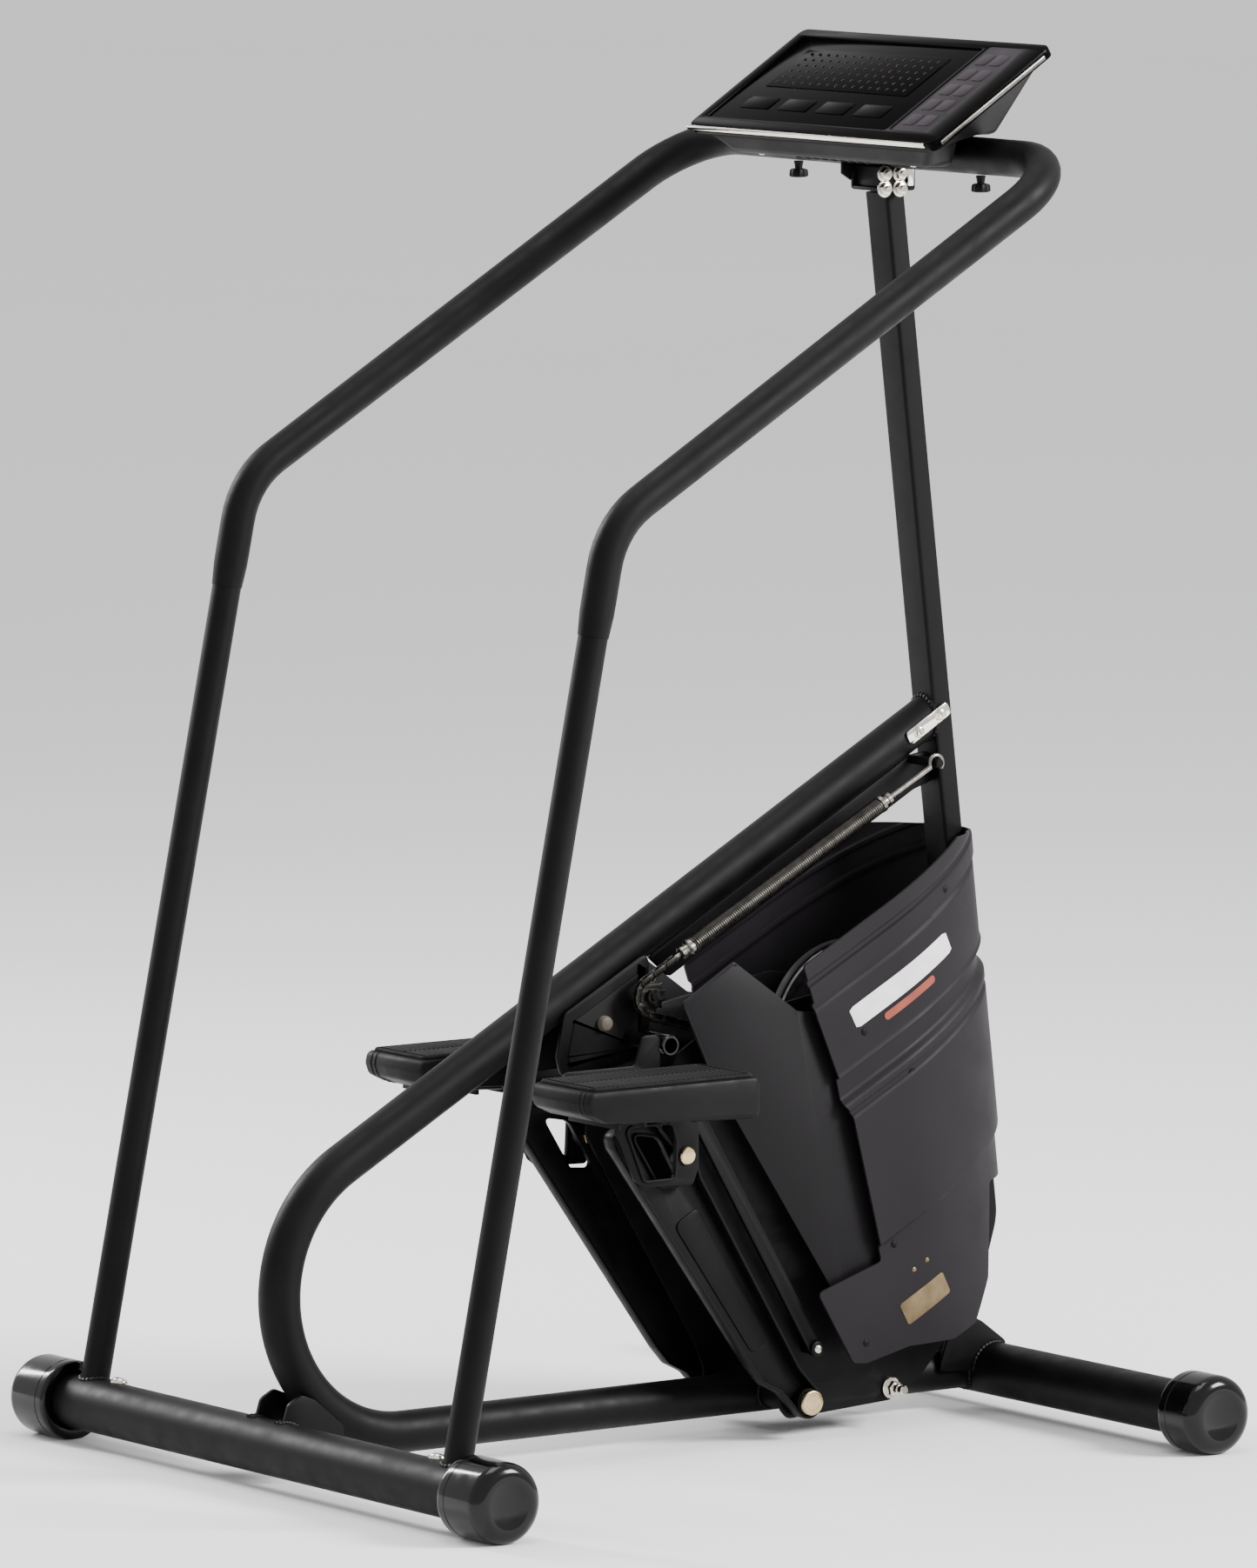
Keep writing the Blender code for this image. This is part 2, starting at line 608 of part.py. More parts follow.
def idler_centre():
    """Below the spring's line, so that the line is tangent to the chain round the idler."""
    (y, z), _ = spring_direction()
    return (SPRING_REAR[0] - 0.045 * y + z * pitch(IDLER_RADIUS), SPRING_REAR[1] - 0.045 * z - y * pitch(IDLER_RADIUS))


def tangent_angle(small, large, small_radius, large_radius, side):
    """The angle, in degrees, of both touching points of a straight run on one side of two wheels."""
    across = (large[0] - small[0], large[1] - small[1])
    middle = math.degrees(math.atan2(across[1], across[0]))
    return middle + side * math.degrees(math.acos((small_radius - large_radius) / math.hypot(*across)))


def return_spring(side, sign):
    """A close-wound extension spring with thin end hooks."""
    (y, z), length = spring_direction()
    end = length - 0.005 - GAP
    profile = [(0, 0), (0, 0.0035), (0.018, 0.0035), (0.022, SPRING_RADIUS), (0.330, SPRING_RADIUS), (0.334, 0.0035),
               (end, 0.0035), (end, 0)]
    made = turned(f"return_spring_{side}", profile, (0, 0), STEEL)
    turn = Vector((1, 0, 0)).rotation_difference(Vector((0, y, z)))
    made.rotation_mode = "QUATERNION"
    made.rotation_quaternion = turn
    made.location = (sign * CHAIN_X, *SPRING_REAR)
    return made


def chain(side, sign):
    """From the spring round the idler, forward under the sprocket and over its top."""
    (y, z), _ = spring_direction()
    start = (SPRING_REAR[0] - 0.001 * y, SPRING_REAR[1] - 0.001 * z)
    top = math.degrees(math.atan2(y, -z))
    small, large = pitch(IDLER_RADIUS), pitch(SPROCKET_RADIUS)
    low = tangent_angle(idler_centre(), SPROCKET, small, large, -1)

    def offset(shift):
        """The run's line moved outwards from the wheels by shift."""
        line = [(start[0] - z * shift, start[1] + y * shift)]
        line += arc(idler_centre(), small + shift, top, 360 + low, 10)
        line += arc(SPROCKET, large + shift, low, 118, 14)
        leave = math.radians(118)
        last = line[-1]
        line.append((last[0] - 0.012 * math.sin(leave), last[1] + 0.012 * math.cos(leave)))
        return line

    half = CHAIN_DEPTH / 2
    outline = offset(half) + offset(-half)[::-1]
    across = span((CHAIN_X - CHAIN_WIDTH / 2, CHAIN_X + CHAIN_WIDTH / 2), sign)
    return prism(f"drive_chain_{side}", outline, across, STEEL)


def wheel(name, centre, radius, across, hub, look=STEEL, sides=16):
    """A disc with a wider hub and a bore that runs on its shaft."""
    bore = hub[2] + GAP
    profile = [(hub[0], bore), (hub[0], hub[3]), (across[0], hub[3]), (across[0], radius), (across[1], radius),
               (across[1], hub[3]), (hub[1], hub[3]), (hub[1], bore)]
    return turned(name, profile, centre, look, sides, closed=True)


def belt():
    large, small = PULLEY_RADIUS + 3 * GAP, ROTOR_RADIUS + 3 * GAP
    right = tangent_angle(ALTERNATOR, SPROCKET, small, large, -1)
    left = tangent_angle(ALTERNATOR, SPROCKET, small, large, 1)

    def loop(extra):
        return arc(SPROCKET, large + extra, right, left, 20) + arc(ALTERNATOR, small + extra, left, right + 360, 8)

    ring_prism("drive_belt", loop(BELT), loop(0), (0.024, 0.036), RUBBER)


def drive():
    plate_end = PLATE_X[1]
    shaft = cylinder("drive_shaft", SPROCKET, SHAFT_RADIUS, (-plate_end - 0.004, plate_end + 0.004), STEEL)
    hub = (0.016, 0.042, SHAFT_RADIUS, 0.020)
    pulley = wheel("drive_pulley", SPROCKET, PULLEY_RADIUS, (0.022, 0.038), hub, sides=24)
    hang("drive_shaft", SPROCKET, [shaft, pulley])
    belt()
    body = [(-PLATE_X[0] + GAP, 0), (-PLATE_X[0] + GAP, ALTERNATOR_RADIUS - 0.004), (-0.062, ALTERNATOR_RADIUS),
            (0.008, ALTERNATOR_RADIUS), (0.014, ALTERNATOR_RADIUS - 0.006), (0.016, 0.018), (0.016, 0.0064),
            (-0.010, 0.0064), (-0.010, 0)]
    turned("alternator", body, ALTERNATOR, STEEL, sides=24)
    rotor = [(-0.009, 0), (-0.009, 0.006), (0.0225, 0.006), (0.0225, ROTOR_RADIUS), (0.0375, ROTOR_RADIUS), (0.0375, 0)]
    hang("alternator", ALTERNATOR, [turned("alternator_pulley", rotor, ALTERNATOR, STEEL)])
    web = [(0.022, 0.539), (0.378, 0.738), (0.404, 0.742), (0.4086, 0.708), (0.384, 0.700), (0.050, 0.515)]
    anchor = prism("spring_anchor", web, (-0.004, 0.004))
    join(anchor, cylinder("tool", SPRING_PIN, 0.005, (-0.058, 0.058)))
    for side, sign in SIDES.items():
        return_spring(side, sign)
        chain(side, sign)
        middle, edge = CHAIN_X * sign, 0.0035
        disc = (middle - edge, middle + edge)
        hub = (middle - 0.006, middle + 0.006)
        sprocket = wheel(f"clutch_sprocket_{side}", SPROCKET, SPROCKET_RADIUS, disc, (*hub, SHAFT_RADIUS, 0.016))
        idler = wheel(f"chain_idler_{side}", idler_centre(), IDLER_RADIUS, disc, (*hub, 0.004, 0.008))
        hang(f"sprocket_{side}", SPROCKET, [sprocket])
        hang(f"idler_{side}", idler_centre(), [idler])


def side_plate(side, sign):
    """Holds the drive shaft, and carries the stud that the levelling link turns on."""
    outline = [(0.149, 0.034), (0.160, 0.022), (0.300, 0.030), (0.345, 0.055), (0.385, 0.100), (0.395, 0.300),
               (0.380, 0.480), (0.240, 0.500), (0.060, 0.470), (0.010, 0.440), (-0.012, 0.400),
               (-0.010, 0.335), (0.060, 0.2155), (0.140, 0.0855), (0.150, 0.060)]
    made = prism(f"side_plate_{side}", outline, span(PLATE_X, sign))
    for centre, radius in ((ARM_PIVOT, SLEEVE_RADIUS), (SPROCKET, SHAFT_RADIUS), (CROSS_BOLT, BOLT_RADIUS)):
        cut(made, cylinder("tool", centre, radius + GAP, span((0.06, 0.09), sign)))
    stud = [(0.072, 0), (0.072, 0.0075), (LINK_X[0] - GAP, 0.0075), (LINK_X[0] - GAP, STUD_RADIUS),
            (LINK_X[1] + GAP, STUD_RADIUS), (LINK_X[1] + GAP, 0.0085), (0.0978, 0.0085), (0.0978, 0)]
    join(made, turned("tool", [(x * sign, r) for x, r in stud], LINK_PIVOT))


def inner_guard(side, sign):
    """The flat guard outside the arm, on two stand-offs from the side plate."""
    outline = [(-0.006, 0.500), (0.064, 0.541), (0.150, 0.480), (0.330, 0.450), (0.330, 0.130), (0.250, 0.098),
               (0.226, 0.105), (0.208, 0.151), (0.185, 0.187), (0.038, 0.410)]
    made = prism(f"inner_guard_{side}", outline, span(GUARD_X, sign), SATIN)
    for centre in ((0.225, 0.400), (0.275, 0.170)):
        join(made, cylinder("tool", centre, 0.006, span((PLATE_X[1] + GAP, GUARD_X[0] + 0.001), sign), sides=12))


def nose_curve(half, length):
    """(x, y) points of one half of the cover seen from above, at the nose's reference level."""
    flat = [(half, 0.10)]
    count = 12
    for i in range(count + 1):
        turn = math.pi / 2 * i / count
        x = max(half * math.cos(turn), GAP)
        flat.append((x, NOSE_CENTRE + length * math.sin(turn)))
    return flat


def side_cover(side, sign):
    """Half of the cover: a flat side running into a long rounded nose that leans with the mast."""
    outer = nose_curve(COVER_HALF, NOSE_LENGTH)
    inner = nose_curve(COVER_HALF - COVER_WALL, NOSE_LENGTH - COVER_WALL)
    mesh = bmesh.new()
    levels = []
    for z in (0.02, 0.75):
        lean = MAST_LEAN * (z - NOSE_LEVEL)
        levels.append([mesh.verts.new((x * sign, y - lean, z)) for x, y in outer + inner[::-1]])
    for level in levels:
        mesh.faces.new(level)
    for i in range(len(levels[0])):
        j = (i + 1) % len(levels[0])
        mesh.faces.new((levels[0][i], levels[0][j], levels[1][j], levels[1][i]))
    made = solid(f"side_cover_{side}", mesh, SATIN)
    outline = [(0.148, 0.531), (0.380, 0.655), (0.56, 0.655), (0.56, 0.271), (0.434, 0.265), (0.422, 0.159),
               (0.396, 0.112), (0.362, 0.098), (0.298, 0.096), (0.238, 0.082), (0.221, 0.084), (0.172, 0.166),
               (0.259, 0.194), (0.207, 0.378), (0.192, 0.427)]
    combine(made, prism("tool", outline, span((-0.01, 0.2), sign)), "INTERSECT")
    stand_off = span((GUARD_X[1] + GAP, COVER_HALF - 0.001), sign)
    for centre in ((0.300, 0.400), (0.290, 0.150)):
        join(made, cylinder("tool", centre, 0.006, stand_off, sides=12))


def main():
    clear_scene()
    crossbars()
    loop_tube()
    mast()
    gussets()
    handrail()
    console_housing()
    console_face()
    console_knobs()
    linkage()
    drive()
    for side, sign in SIDES.items():
        side_plate(side, sign)
        inner_guard(side, sign)
        side_cover(side, sign)


main()
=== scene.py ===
"""The looks of the stair climber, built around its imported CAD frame.

+X is the user's right, +Y the way the user faces, +Z up, in metres. Finished pieces stand in for the CAD
nodes and ride on the same bodies. Outlines of flat parts are (y, z) points, profiles of turned parts are
(along, radius) points, and x ranges are those of the right-hand side, mirrored by span().
"""

import contextlib
import json
import math

import bmesh
import bpy
from mathutils import Matrix, Vector
from mathutils.geometry import tessellate_polygon


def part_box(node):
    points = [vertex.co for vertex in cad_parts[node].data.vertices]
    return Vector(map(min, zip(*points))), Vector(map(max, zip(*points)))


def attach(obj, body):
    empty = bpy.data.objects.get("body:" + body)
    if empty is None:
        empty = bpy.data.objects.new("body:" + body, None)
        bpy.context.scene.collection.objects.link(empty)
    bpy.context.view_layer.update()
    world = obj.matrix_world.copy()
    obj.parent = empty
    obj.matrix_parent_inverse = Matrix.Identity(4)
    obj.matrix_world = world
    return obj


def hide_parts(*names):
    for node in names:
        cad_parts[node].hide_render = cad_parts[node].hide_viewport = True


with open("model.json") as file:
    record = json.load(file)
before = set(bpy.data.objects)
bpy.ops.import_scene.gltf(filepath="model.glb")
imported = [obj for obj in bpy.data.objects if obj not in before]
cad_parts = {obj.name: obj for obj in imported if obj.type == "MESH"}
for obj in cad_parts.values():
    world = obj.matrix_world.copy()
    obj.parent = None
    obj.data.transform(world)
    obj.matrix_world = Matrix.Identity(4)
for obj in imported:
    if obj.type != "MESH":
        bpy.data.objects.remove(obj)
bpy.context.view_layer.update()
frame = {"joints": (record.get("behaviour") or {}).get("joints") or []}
SIDES = {"left": -1, "right": 1}
JOINTS = {joint["name"]: Vector(joint["pos_m"]) for joint in frame["joints"]}


# ---------------------------------------------------------------- places read off the frame

def middle(node):
    low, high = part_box(node)
    return (low + high) / 2


def half_size(node):
    low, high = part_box(node)
    return (high - low) / 2


def flat(point):
    """The (y, z) part of a point."""
    return (point.y, point.z)


ARM_PIVOT = flat(JOINTS["pedal_swing_right"])
LINK_PIVOT = flat(JOINTS["link_swing_right"])
PEDAL_PIVOT = flat(JOINTS["pedal_level_right"])
IDLER = flat(JOINTS["idler_turn_right"])
SPROCKET = flat(JOINTS["drive_shaft_turn"])
ALTERNATOR = flat(JOINTS["alternator_turn"])
LINK_END = tuple(pedal + link - arm for pedal, link, arm in zip(PEDAL_PIVOT, LINK_PIVOT, ARM_PIVOT))
ARM_ANGLE = math.atan2(ARM_PIVOT[0] - PEDAL_PIVOT[0], PEDAL_PIVOT[1] - ARM_PIVOT[1])
ARM_LENGTH = math.dist(ARM_PIVOT, PEDAL_PIVOT)
CROSS_BOLT = flat(middle("cross_bolt"))

BAR_Y = middle("front_crossbar").y
BAR_Z = middle("front_crossbar").z
BAR_RADIUS = half_size("front_crossbar").z
CAP_RADIUS = 0.0442
LOOP_RADIUS = half_size("loop_tube").x
BEND_CENTRE = Vector((0, -0.3053, 0.2025))
BEND_RADIUS = BEND_CENTRE.z - BAR_Z
DIAGONAL = math.radians(29.2)
ALONG_DIAGONAL = Vector((0, math.cos(DIAGONAL), math.sin(DIAGONAL)))
GUSSET_X = (0.0238, 0.0295)

MAST_HALF = (0.0205, 0.0125)
MAST_FOOT_Y = 0.4295
MAST_LEAN = 0.117
MAST_LEVEL, MAST_LEVEL_Y = 1.173, 0.3669
MAST_KINK, MAST_TOP = 0.215, 1.367

RAIL_RADIUS = 0.016
RAIL_FOOT = Vector((0.350, -0.48, 0.043))
RAIL_KNEE = Vector((0.348, -0.274, 1.054))
RAIL_CORNER = Vector((0.347, 0.338, 1.415))
GRIP_BELOW_KNEE = 0.132
CONSOLE_EDGE, CONSOLE_TILT = Vector((0, 0.239, 1.434)), math.radians(32.4)
CONSOLE_HALF, CONSOLE_LENGTH, BEZEL = 0.227, 0.191, 0.012

# Layers across the machine, from the middle outwards.
CHEEK_X = (0.0225, 0.0275)
CHAIN_X = 0.050
PLATE_X = (0.070, 0.074)
ARM_WEB_X, ARM_FLANGE_X = (0.0812, 0.0848), (0.0812, 0.0978)
LINK_X = (0.0882, 0.0938)
CARRIER_X = (0.0990, 0.1030)
FIN_X = (0.1015, 0.1042)
SHAFT_BORE, BOLT_BORE, IDLER_BORE = 0.0083, 0.0063, 0.0043

STOP_BAR = (-0.022, 0.455)
SPRING_REAR, SPRING_PIN = Vector((0, 0.022, 0.541)), Vector((0, 0.380, 0.734))
IDLER_PITCH, SPROCKET_PITCH, CHAIN_STEP = 0.0196, 0.0356, 0.009525
PULLEY_BELT, ROTOR_BELT, BELT_THICK = 0.1009, 0.0229, 0.0025

COVER_HALF, NOSE_LENGTH, NOSE_CENTRE, NOSE_LEVEL = 0.120, 0.197, 0.293, 0.306
COVER_WALL = 0.003
SLOPE = math.radians(28.1)
TOP_EDGE = (0.148, 0.531)


def mast_y(z):
    return MAST_LEVEL_Y - MAST_LEAN * (z - MAST_LEVEL)


def on_arm(along, forward):
    """(y, z) of a point given along the arm from its pivot, and forward of that line."""
    s, c = math.sin(ARM_ANGLE), math.cos(ARM_ANGLE)
    return (ARM_PIVOT[0] - along * s + forward * c, ARM_PIVOT[1] + along * c + forward * s)


# ---------------------------------------------------------------- materials

PLAIN, INK, WARM = (1, 1, 1), (1.0, 0.82, 1.0), (1.0, 0.94, 0.84)


def noise(tree, scale, detail):
    """A noise texture in object space."""
    place = tree.nodes.new("ShaderNodeTexCoord")
    texture = tree.nodes.new("ShaderNodeTexNoise")
    texture.inputs["Scale"].default_value = scale
    texture.inputs["Detail"].default_value = detail
    tree.links.new(place.outputs["Object"], texture.inputs["Vector"])
    return texture.outputs["Fac"]


def ramp(tree, source, low, high):
    """A colour ramp between two colours over the middle of a source's range."""
    made = tree.nodes.new("ShaderNodeValToRGB")
    for element, place, colour in zip(made.color_ramp.elements, (0.3, 0.7), (low, high)):
        element.position = place
        element.color = (*colour, 1)
    tree.links.new(source, made.inputs["Fac"])
    return made.outputs["Color"]


def spread(tree, source, low, high):
    """The middle of a source's range, mapped to values from low to high."""
    made = tree.nodes.new("ShaderNodeMapRange")
    for socket, value in (("From Min", 0.3), ("From Max", 0.7), ("To Min", low), ("To Max", high)):
        made.inputs[socket].default_value = value
    tree.links.new(source, made.inputs["Value"])
    return made.outputs["Result"]


def finish(name, slot, shades, rough, tint=PLAIN, metallic=0.0, grain=(900, 0.02), patch=14, specular=0.5,
           sheen=0.0):
    """A Principled material whose colour and roughness drift in soft patches under a fine bumped grain.

    Shades are two greys of the tint, or two colours. Grain is the bump's scale and its height in millimetres.
    """
    made = bpy.data.materials.new(name)
    made.use_nodes = True
    made["slot"] = slot
    tree = made.node_tree
    shader = tree.nodes["Principled BSDF"]
    shader.inputs["Metallic"].default_value = metallic
    shader.inputs["Specular IOR Level"].default_value = specular
    shader.inputs["Sheen Weight"].default_value = sheen
    low, high = (shade if isinstance(shade, tuple) else tuple(shade * t for t in tint) for shade in shades)
    tree.links.new(ramp(tree, noise(tree, patch, 4), low, high), shader.inputs["Base Color"])
    tree.links.new(spread(tree, noise(tree, patch * 3.1, 5), *rough), shader.inputs["Roughness"])
    bump = tree.nodes.new("ShaderNodeBump")
    bump.inputs["Strength"].default_value = 0.35
    bump.inputs["Distance"].default_value = grain[1] * 0.001
    tree.links.new(noise(tree, grain[0], 2), bump.inputs["Height"])
    tree.links.new(bump.outputs["Normal"], shader.inputs["Normal"])
    return made


def enamel(name, slot, shades, rough, grain, specular, tint=INK, **more):
    """A dark paint, plastic or rubber."""
    return finish(name, slot, shades, rough, tint, grain=grain, specular=specular, **more)


def metal(name, slot, shades, rough, grain=(700, 0.10), patch=60, tint=WARM):
    return finish(name, slot, shades, rough, tint, 1.0, grain, patch)


PAINT = enamel("frame_enamel", "frame_paint", (0.0014, 0.0034), (0.44, 0.56), (520, 0.10), 0.12)
PRESSED = enamel("pressed_sheet_enamel", "frame_paint", (0.0014, 0.0030), (0.38, 0.52), (420, 0.14), 0.12)
WELD = enamel("weld_bead_enamel", "frame_paint", (0.0020, 0.0040), (0.34, 0.5), (300, 0.3), 0.14)
CAP = enamel("cap_rubber", "cap_rubber", (0.0008, 0.0016), (0.08, 0.20), (260, 0.05), 0.28, PLAIN)
GRIP = enamel("grip_vinyl", "grip_vinyl", (0.0022, 0.0042), (0.44, 0.58), (1400, 0.20), 0.11)
SHELL = enamel("moulded_cover_shell", "cover_shell", (0.0072, 0.0108), (0.46, 0.60), (1100, 0.30), 0.14,
               patch=6)
# A darker copy of the cover's moulded plastic: painted shade, used for the console housing and the cover's
# screw heads.
SHADED_SHELL = enamel("moulded_shell_painted_shade", "cover_shell", (0.0026, 0.0044), (0.5, 0.62), (1100, 0.30), 0.12, patch=6)
FIN = enamel("fin_enamel", "cover_shell", (0.0034, 0.0054), (0.40, 0.54), (900, 0.25), 0.14, patch=5)
PEDAL = enamel("pedal_plastic", "pedal_shell", (0.0020, 0.0040), (0.44, 0.6), (900, 0.3), 0.12)
TREAD = enamel("tread_rubber", "tread_rubber", (0.0024, 0.0052), (0.6, 0.8), (700, 0.4), 0.1, PLAIN,
               sheen=0.05)
GLOSS = enamel("console_gloss", "console_gloss", (0.0014, 0.0024), (0.10, 0.20), (90, 0.02), 0.02)
WINDOW = enamel("smoked_window", "display_window", (0.0007, 0.0013), (0.09, 0.11), (600, 0.01), 0.015)
LENS = finish("led_lens", "display_window", ((0.005, 0.0012, 0.0016), (0.008, 0.002, 0.0024)), (0.2, 0.3),
              specular=0.1)
FILM = enamel("keypad_film", "keypad_film", (0.020, 0.028), (0.34, 0.46), (1600, 0.12), 0.07)
KEY = enamel("keypad_key", "keypad_film", (0.024, 0.033), (0.30, 0.42), (1600, 0.10), 0.07)
BOARD = finish("circuit_board", "circuit_board", ((0.010, 0.060, 0.026), (0.016, 0.085, 0.036)), (0.35, 0.5))
CHIP = finish("chip_plastic", "circuit_board", (0.010, 0.020), (0.4, 0.6))
ZINC = metal("plated_zinc", "zinc", (0.50, 0.68), (0.18, 0.32))
BRASS = metal("yellow_zinc", "zinc", ((0.52, 0.38, 0.20), (0.66, 0.51, 0.31)), (0.20, 0.34))
CHROME = metal("bright_trim", "zinc", (0.72, 0.86), (0.10, 0.20), (300, 0.04), 30)
DULL_ZINC = metal("dull_zinc", "zinc", (0.12, 0.24), (0.22, 0.36))
SPRING = metal("spring_wire", "spring_steel", (0.045, 0.085), (0.28, 0.42), (900, 0.1), 90)
STEEL = metal("drive_steel", "drive_steel", (0.022, 0.050), (0.28, 0.46), (600, 0.12), 70)
ALLOY = metal("cast_alloy", "cast_alloy", (0.16, 0.24), (0.34, 0.52), (420, 0.3), 40, PLAIN)
BELT = enamel("belt_rubber", "tread_rubber", (0.0024, 0.0046), (0.55, 0.75), (700, 0.3), 0.1, PLAIN)
BUFFER = finish("buffer_rubber", "tread_rubber", ((0.050, 0.042, 0.030), (0.085, 0.072, 0.050)), (0.5, 0.7),
                patch=70)
FOIL = finish("label_foil", "cover_shell", ((0.11, 0.078, 0.038), (0.21, 0.15, 0.08)), (0.26, 0.4),
              metallic=0.7, patch=50)
BADGE_WHITE = finish("badge_white", "cover_shell", (0.62, 0.75), (0.3, 0.42), grain=(1300, 0.1), patch=40)
BADGE_RED = finish("badge_red", "cover_shell", ((0.16, 0.020, 0.010), (0.25, 0.036, 0.016)), (0.34, 0.5),
                   patch=40)
FLOOR = finish("floor_paper", "frame_paint", (0.84, 0.86), (0.8, 0.9), patch=0.3, specular=0.1)


# ---------------------------------------------------------------- mesh tools

@contextlib.contextmanager
def piece(name, look, body="frame", *nodes, sharp=32):
    """A mesh to draw in, which becomes a riding object that stands for the CAD nodes named."""
    mesh = bmesh.new()
    yield mesh
    bmesh.ops.recalc_face_normals(mesh, faces=mesh.faces)
    made = add_object(name, mesh)
    made.data.shade_smooth()
    made.data.set_sharp_from_angle(angle=math.radians(sharp))
    made.data.materials.append(look)
    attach(made, body)
    if nodes:
        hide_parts(*nodes)


def add_object(name, mesh):
    data = bpy.data.meshes.new(name)
    mesh.to_mesh(data)
    mesh.free()
    made = bpy.data.objects.new(name, data)
    bpy.context.scene.collection.objects.link(made)
    return made


def skin(mesh, rings, closed_ring=True, closed_path=False, caps=(False, False)):
    """Quads between rings of vertices, with a face over each end asked for."""
    pairs = list(zip(rings, rings[1:]))
    if closed_path:
        pairs.append((rings[-1], rings[0]))
    for a, b in pairs:
        for i in range(len(a) if closed_ring else len(a) - 1):
            j = (i + 1) % len(a)
            mesh.faces.new((a[i], a[j], b[j], b[i]))
    for ring, wanted in zip((rings[0], rings[-1]), caps):
        if wanted:
            mesh.faces.new(ring)


def circle(radius, sides):
    angles = [2 * math.pi * i / sides for i in range(sides)]
    return [(radius * math.cos(a), radius * math.sin(a)) for a in angles]


def arc(centre, radius, first, last, count):
    """Points on a circle from one angle to another, in degrees."""
    angles = [math.radians(first + (last - first) * i / count) for i in range(count + 1)]
    return [(centre[0] + radius * math.cos(a), centre[1] + radius * math.sin(a)) for a in angles]


def axes_of(direction):
    """Two directions across the given one."""
    direction = Vector(direction).normalized()
    side = Vector((0, 0, 1)) if abs(direction.z) < 0.9 else Vector((0, 1, 0))
    side = (side - direction * side.dot(direction)).normalized()
    return side, direction.cross(side)


def add_turned(mesh, profile, origin, direction=(1, 0, 0), sides=32, start=0.0, wave=None, ring=False):
    """A profile turned about a line through origin, closed on itself if ring. wave(angle) scales radii."""
    direction = Vector(direction).normalized()
    side, up = axes_of(direction)
    angles = [start + 2 * math.pi * i / sides for i in range(sides)]
    rings = []
    for along, radius in profile:
        spots = []
        for angle in angles:
            reach = radius * (wave(angle) if wave else 1)
            spot = Vector(origin) + direction * along + side * reach * math.cos(angle)
            spots.append(mesh.verts.new(spot + up * reach * math.sin(angle)))
        rings.append(spots)
    skin(mesh, rings, closed_path=ring, caps=(not ring,) * 2)


def add_hub(mesh, profile, centre, sign=1, sides=32):
    """A profile turned about the line along X through a (y, z) centre."""
    add_turned(mesh, profile, (0, *centre), (sign, 0, 0), sides)


def add_ring(mesh, profile, centre, sign=1, sides=48, x=0):
    """A closed profile turned about the line along X through a (y, z) centre."""
    add_turned(mesh, profile, (x, *centre), (sign, 0, 0), sides, ring=True)


def path_frames(path, closed=False, side=None):
    """Each point of a path with two directions across it that don't twist along it."""
    count = len(path)
    tangents = []
    for i in range(count):
        before = path[i - 1] if i or closed else path[0]
        after = path[(i + 1) % count] if i < count - 1 or closed else path[-1]
        tangents.append((after - before).normalized())
    side = Vector(side) if side else axes_of(tangents[0])[0]
    places = []
    for point, tangent in zip(path, tangents):
        side = (side - tangent * side.dot(tangent)).normalized()
        places.append((point, side, tangent.cross(side)))
    return places


def add_sweep(mesh, path, section, closed=False, side=None):
    """A section, or one for each point, swept along a path. Returns its rings."""
    places = path_frames(path, closed, side)
    sections = section if isinstance(section[0][0], (tuple, list)) else [section] * len(path)
    rings = [[mesh.verts.new(point + across * a + up * b) for a, b in shape]
             for (point, across, up), shape in zip(places, sections)]
    skin(mesh, rings, closed_path=closed, caps=(not closed,) * 2)
    return rings


def add_bead(mesh, path, radius, closed=True, pitch=0.005):
    """A weld bead: a swept ring whose thickness ripples with each pass of the torch."""
    dense = resample(path, pitch / 5, closed)
    sections = [circle(radius * (1 + 0.16 * math.cos(2 * math.pi * i / 5)), 8) for i in range(len(dense))]
    add_sweep(mesh, dense, sections, closed)


def lengths_along(points):
    lengths = [0.0]
    for a, b in zip(points, points[1:]):
        lengths.append(lengths[-1] + (b - a).length)
    return lengths


def resample(path, pitch, closed=False):
    """Points at even steps, of about the pitch, along a path."""
    points = list(path) + ([path[0]] if closed else [])
    lengths = lengths_along(points)
    count = max(8, round(lengths[-1] / pitch))
    made = []
    k = 0
    for i in range(count if closed else count + 1):
        target = lengths[-1] * i / count
        while k < len(points) - 2 and lengths[k + 1] < target:
            k += 1
        share = (target - lengths[k]) / max(lengths[k + 1] - lengths[k], 1e-9)
        made.append(points[k].lerp(points[k + 1], share))
    return made


def rounded_path(corners, radii, step=math.radians(4)):
    """Straight runs joined by fine arcs."""
    path = [corners[0]]
    for before, corner, after, radius in zip(corners, corners[1:], corners[2:], radii):
        into = (corner - before).normalized()
        out = (after - corner).normalized()
        turn = into.angle(out)
        start = corner - into * radius * math.tan(turn / 2)
        axis = into.cross(out).normalized()
        centre = start + axis.cross(into) * radius
        count = max(2, math.ceil(turn / step))
        turns = [Matrix.Rotation(turn * i / count, 3, axis) for i in range(count + 1)]
        path += [centre + rotation @ (start - centre) for rotation in turns]
    path.append(corners[-1])
    return path


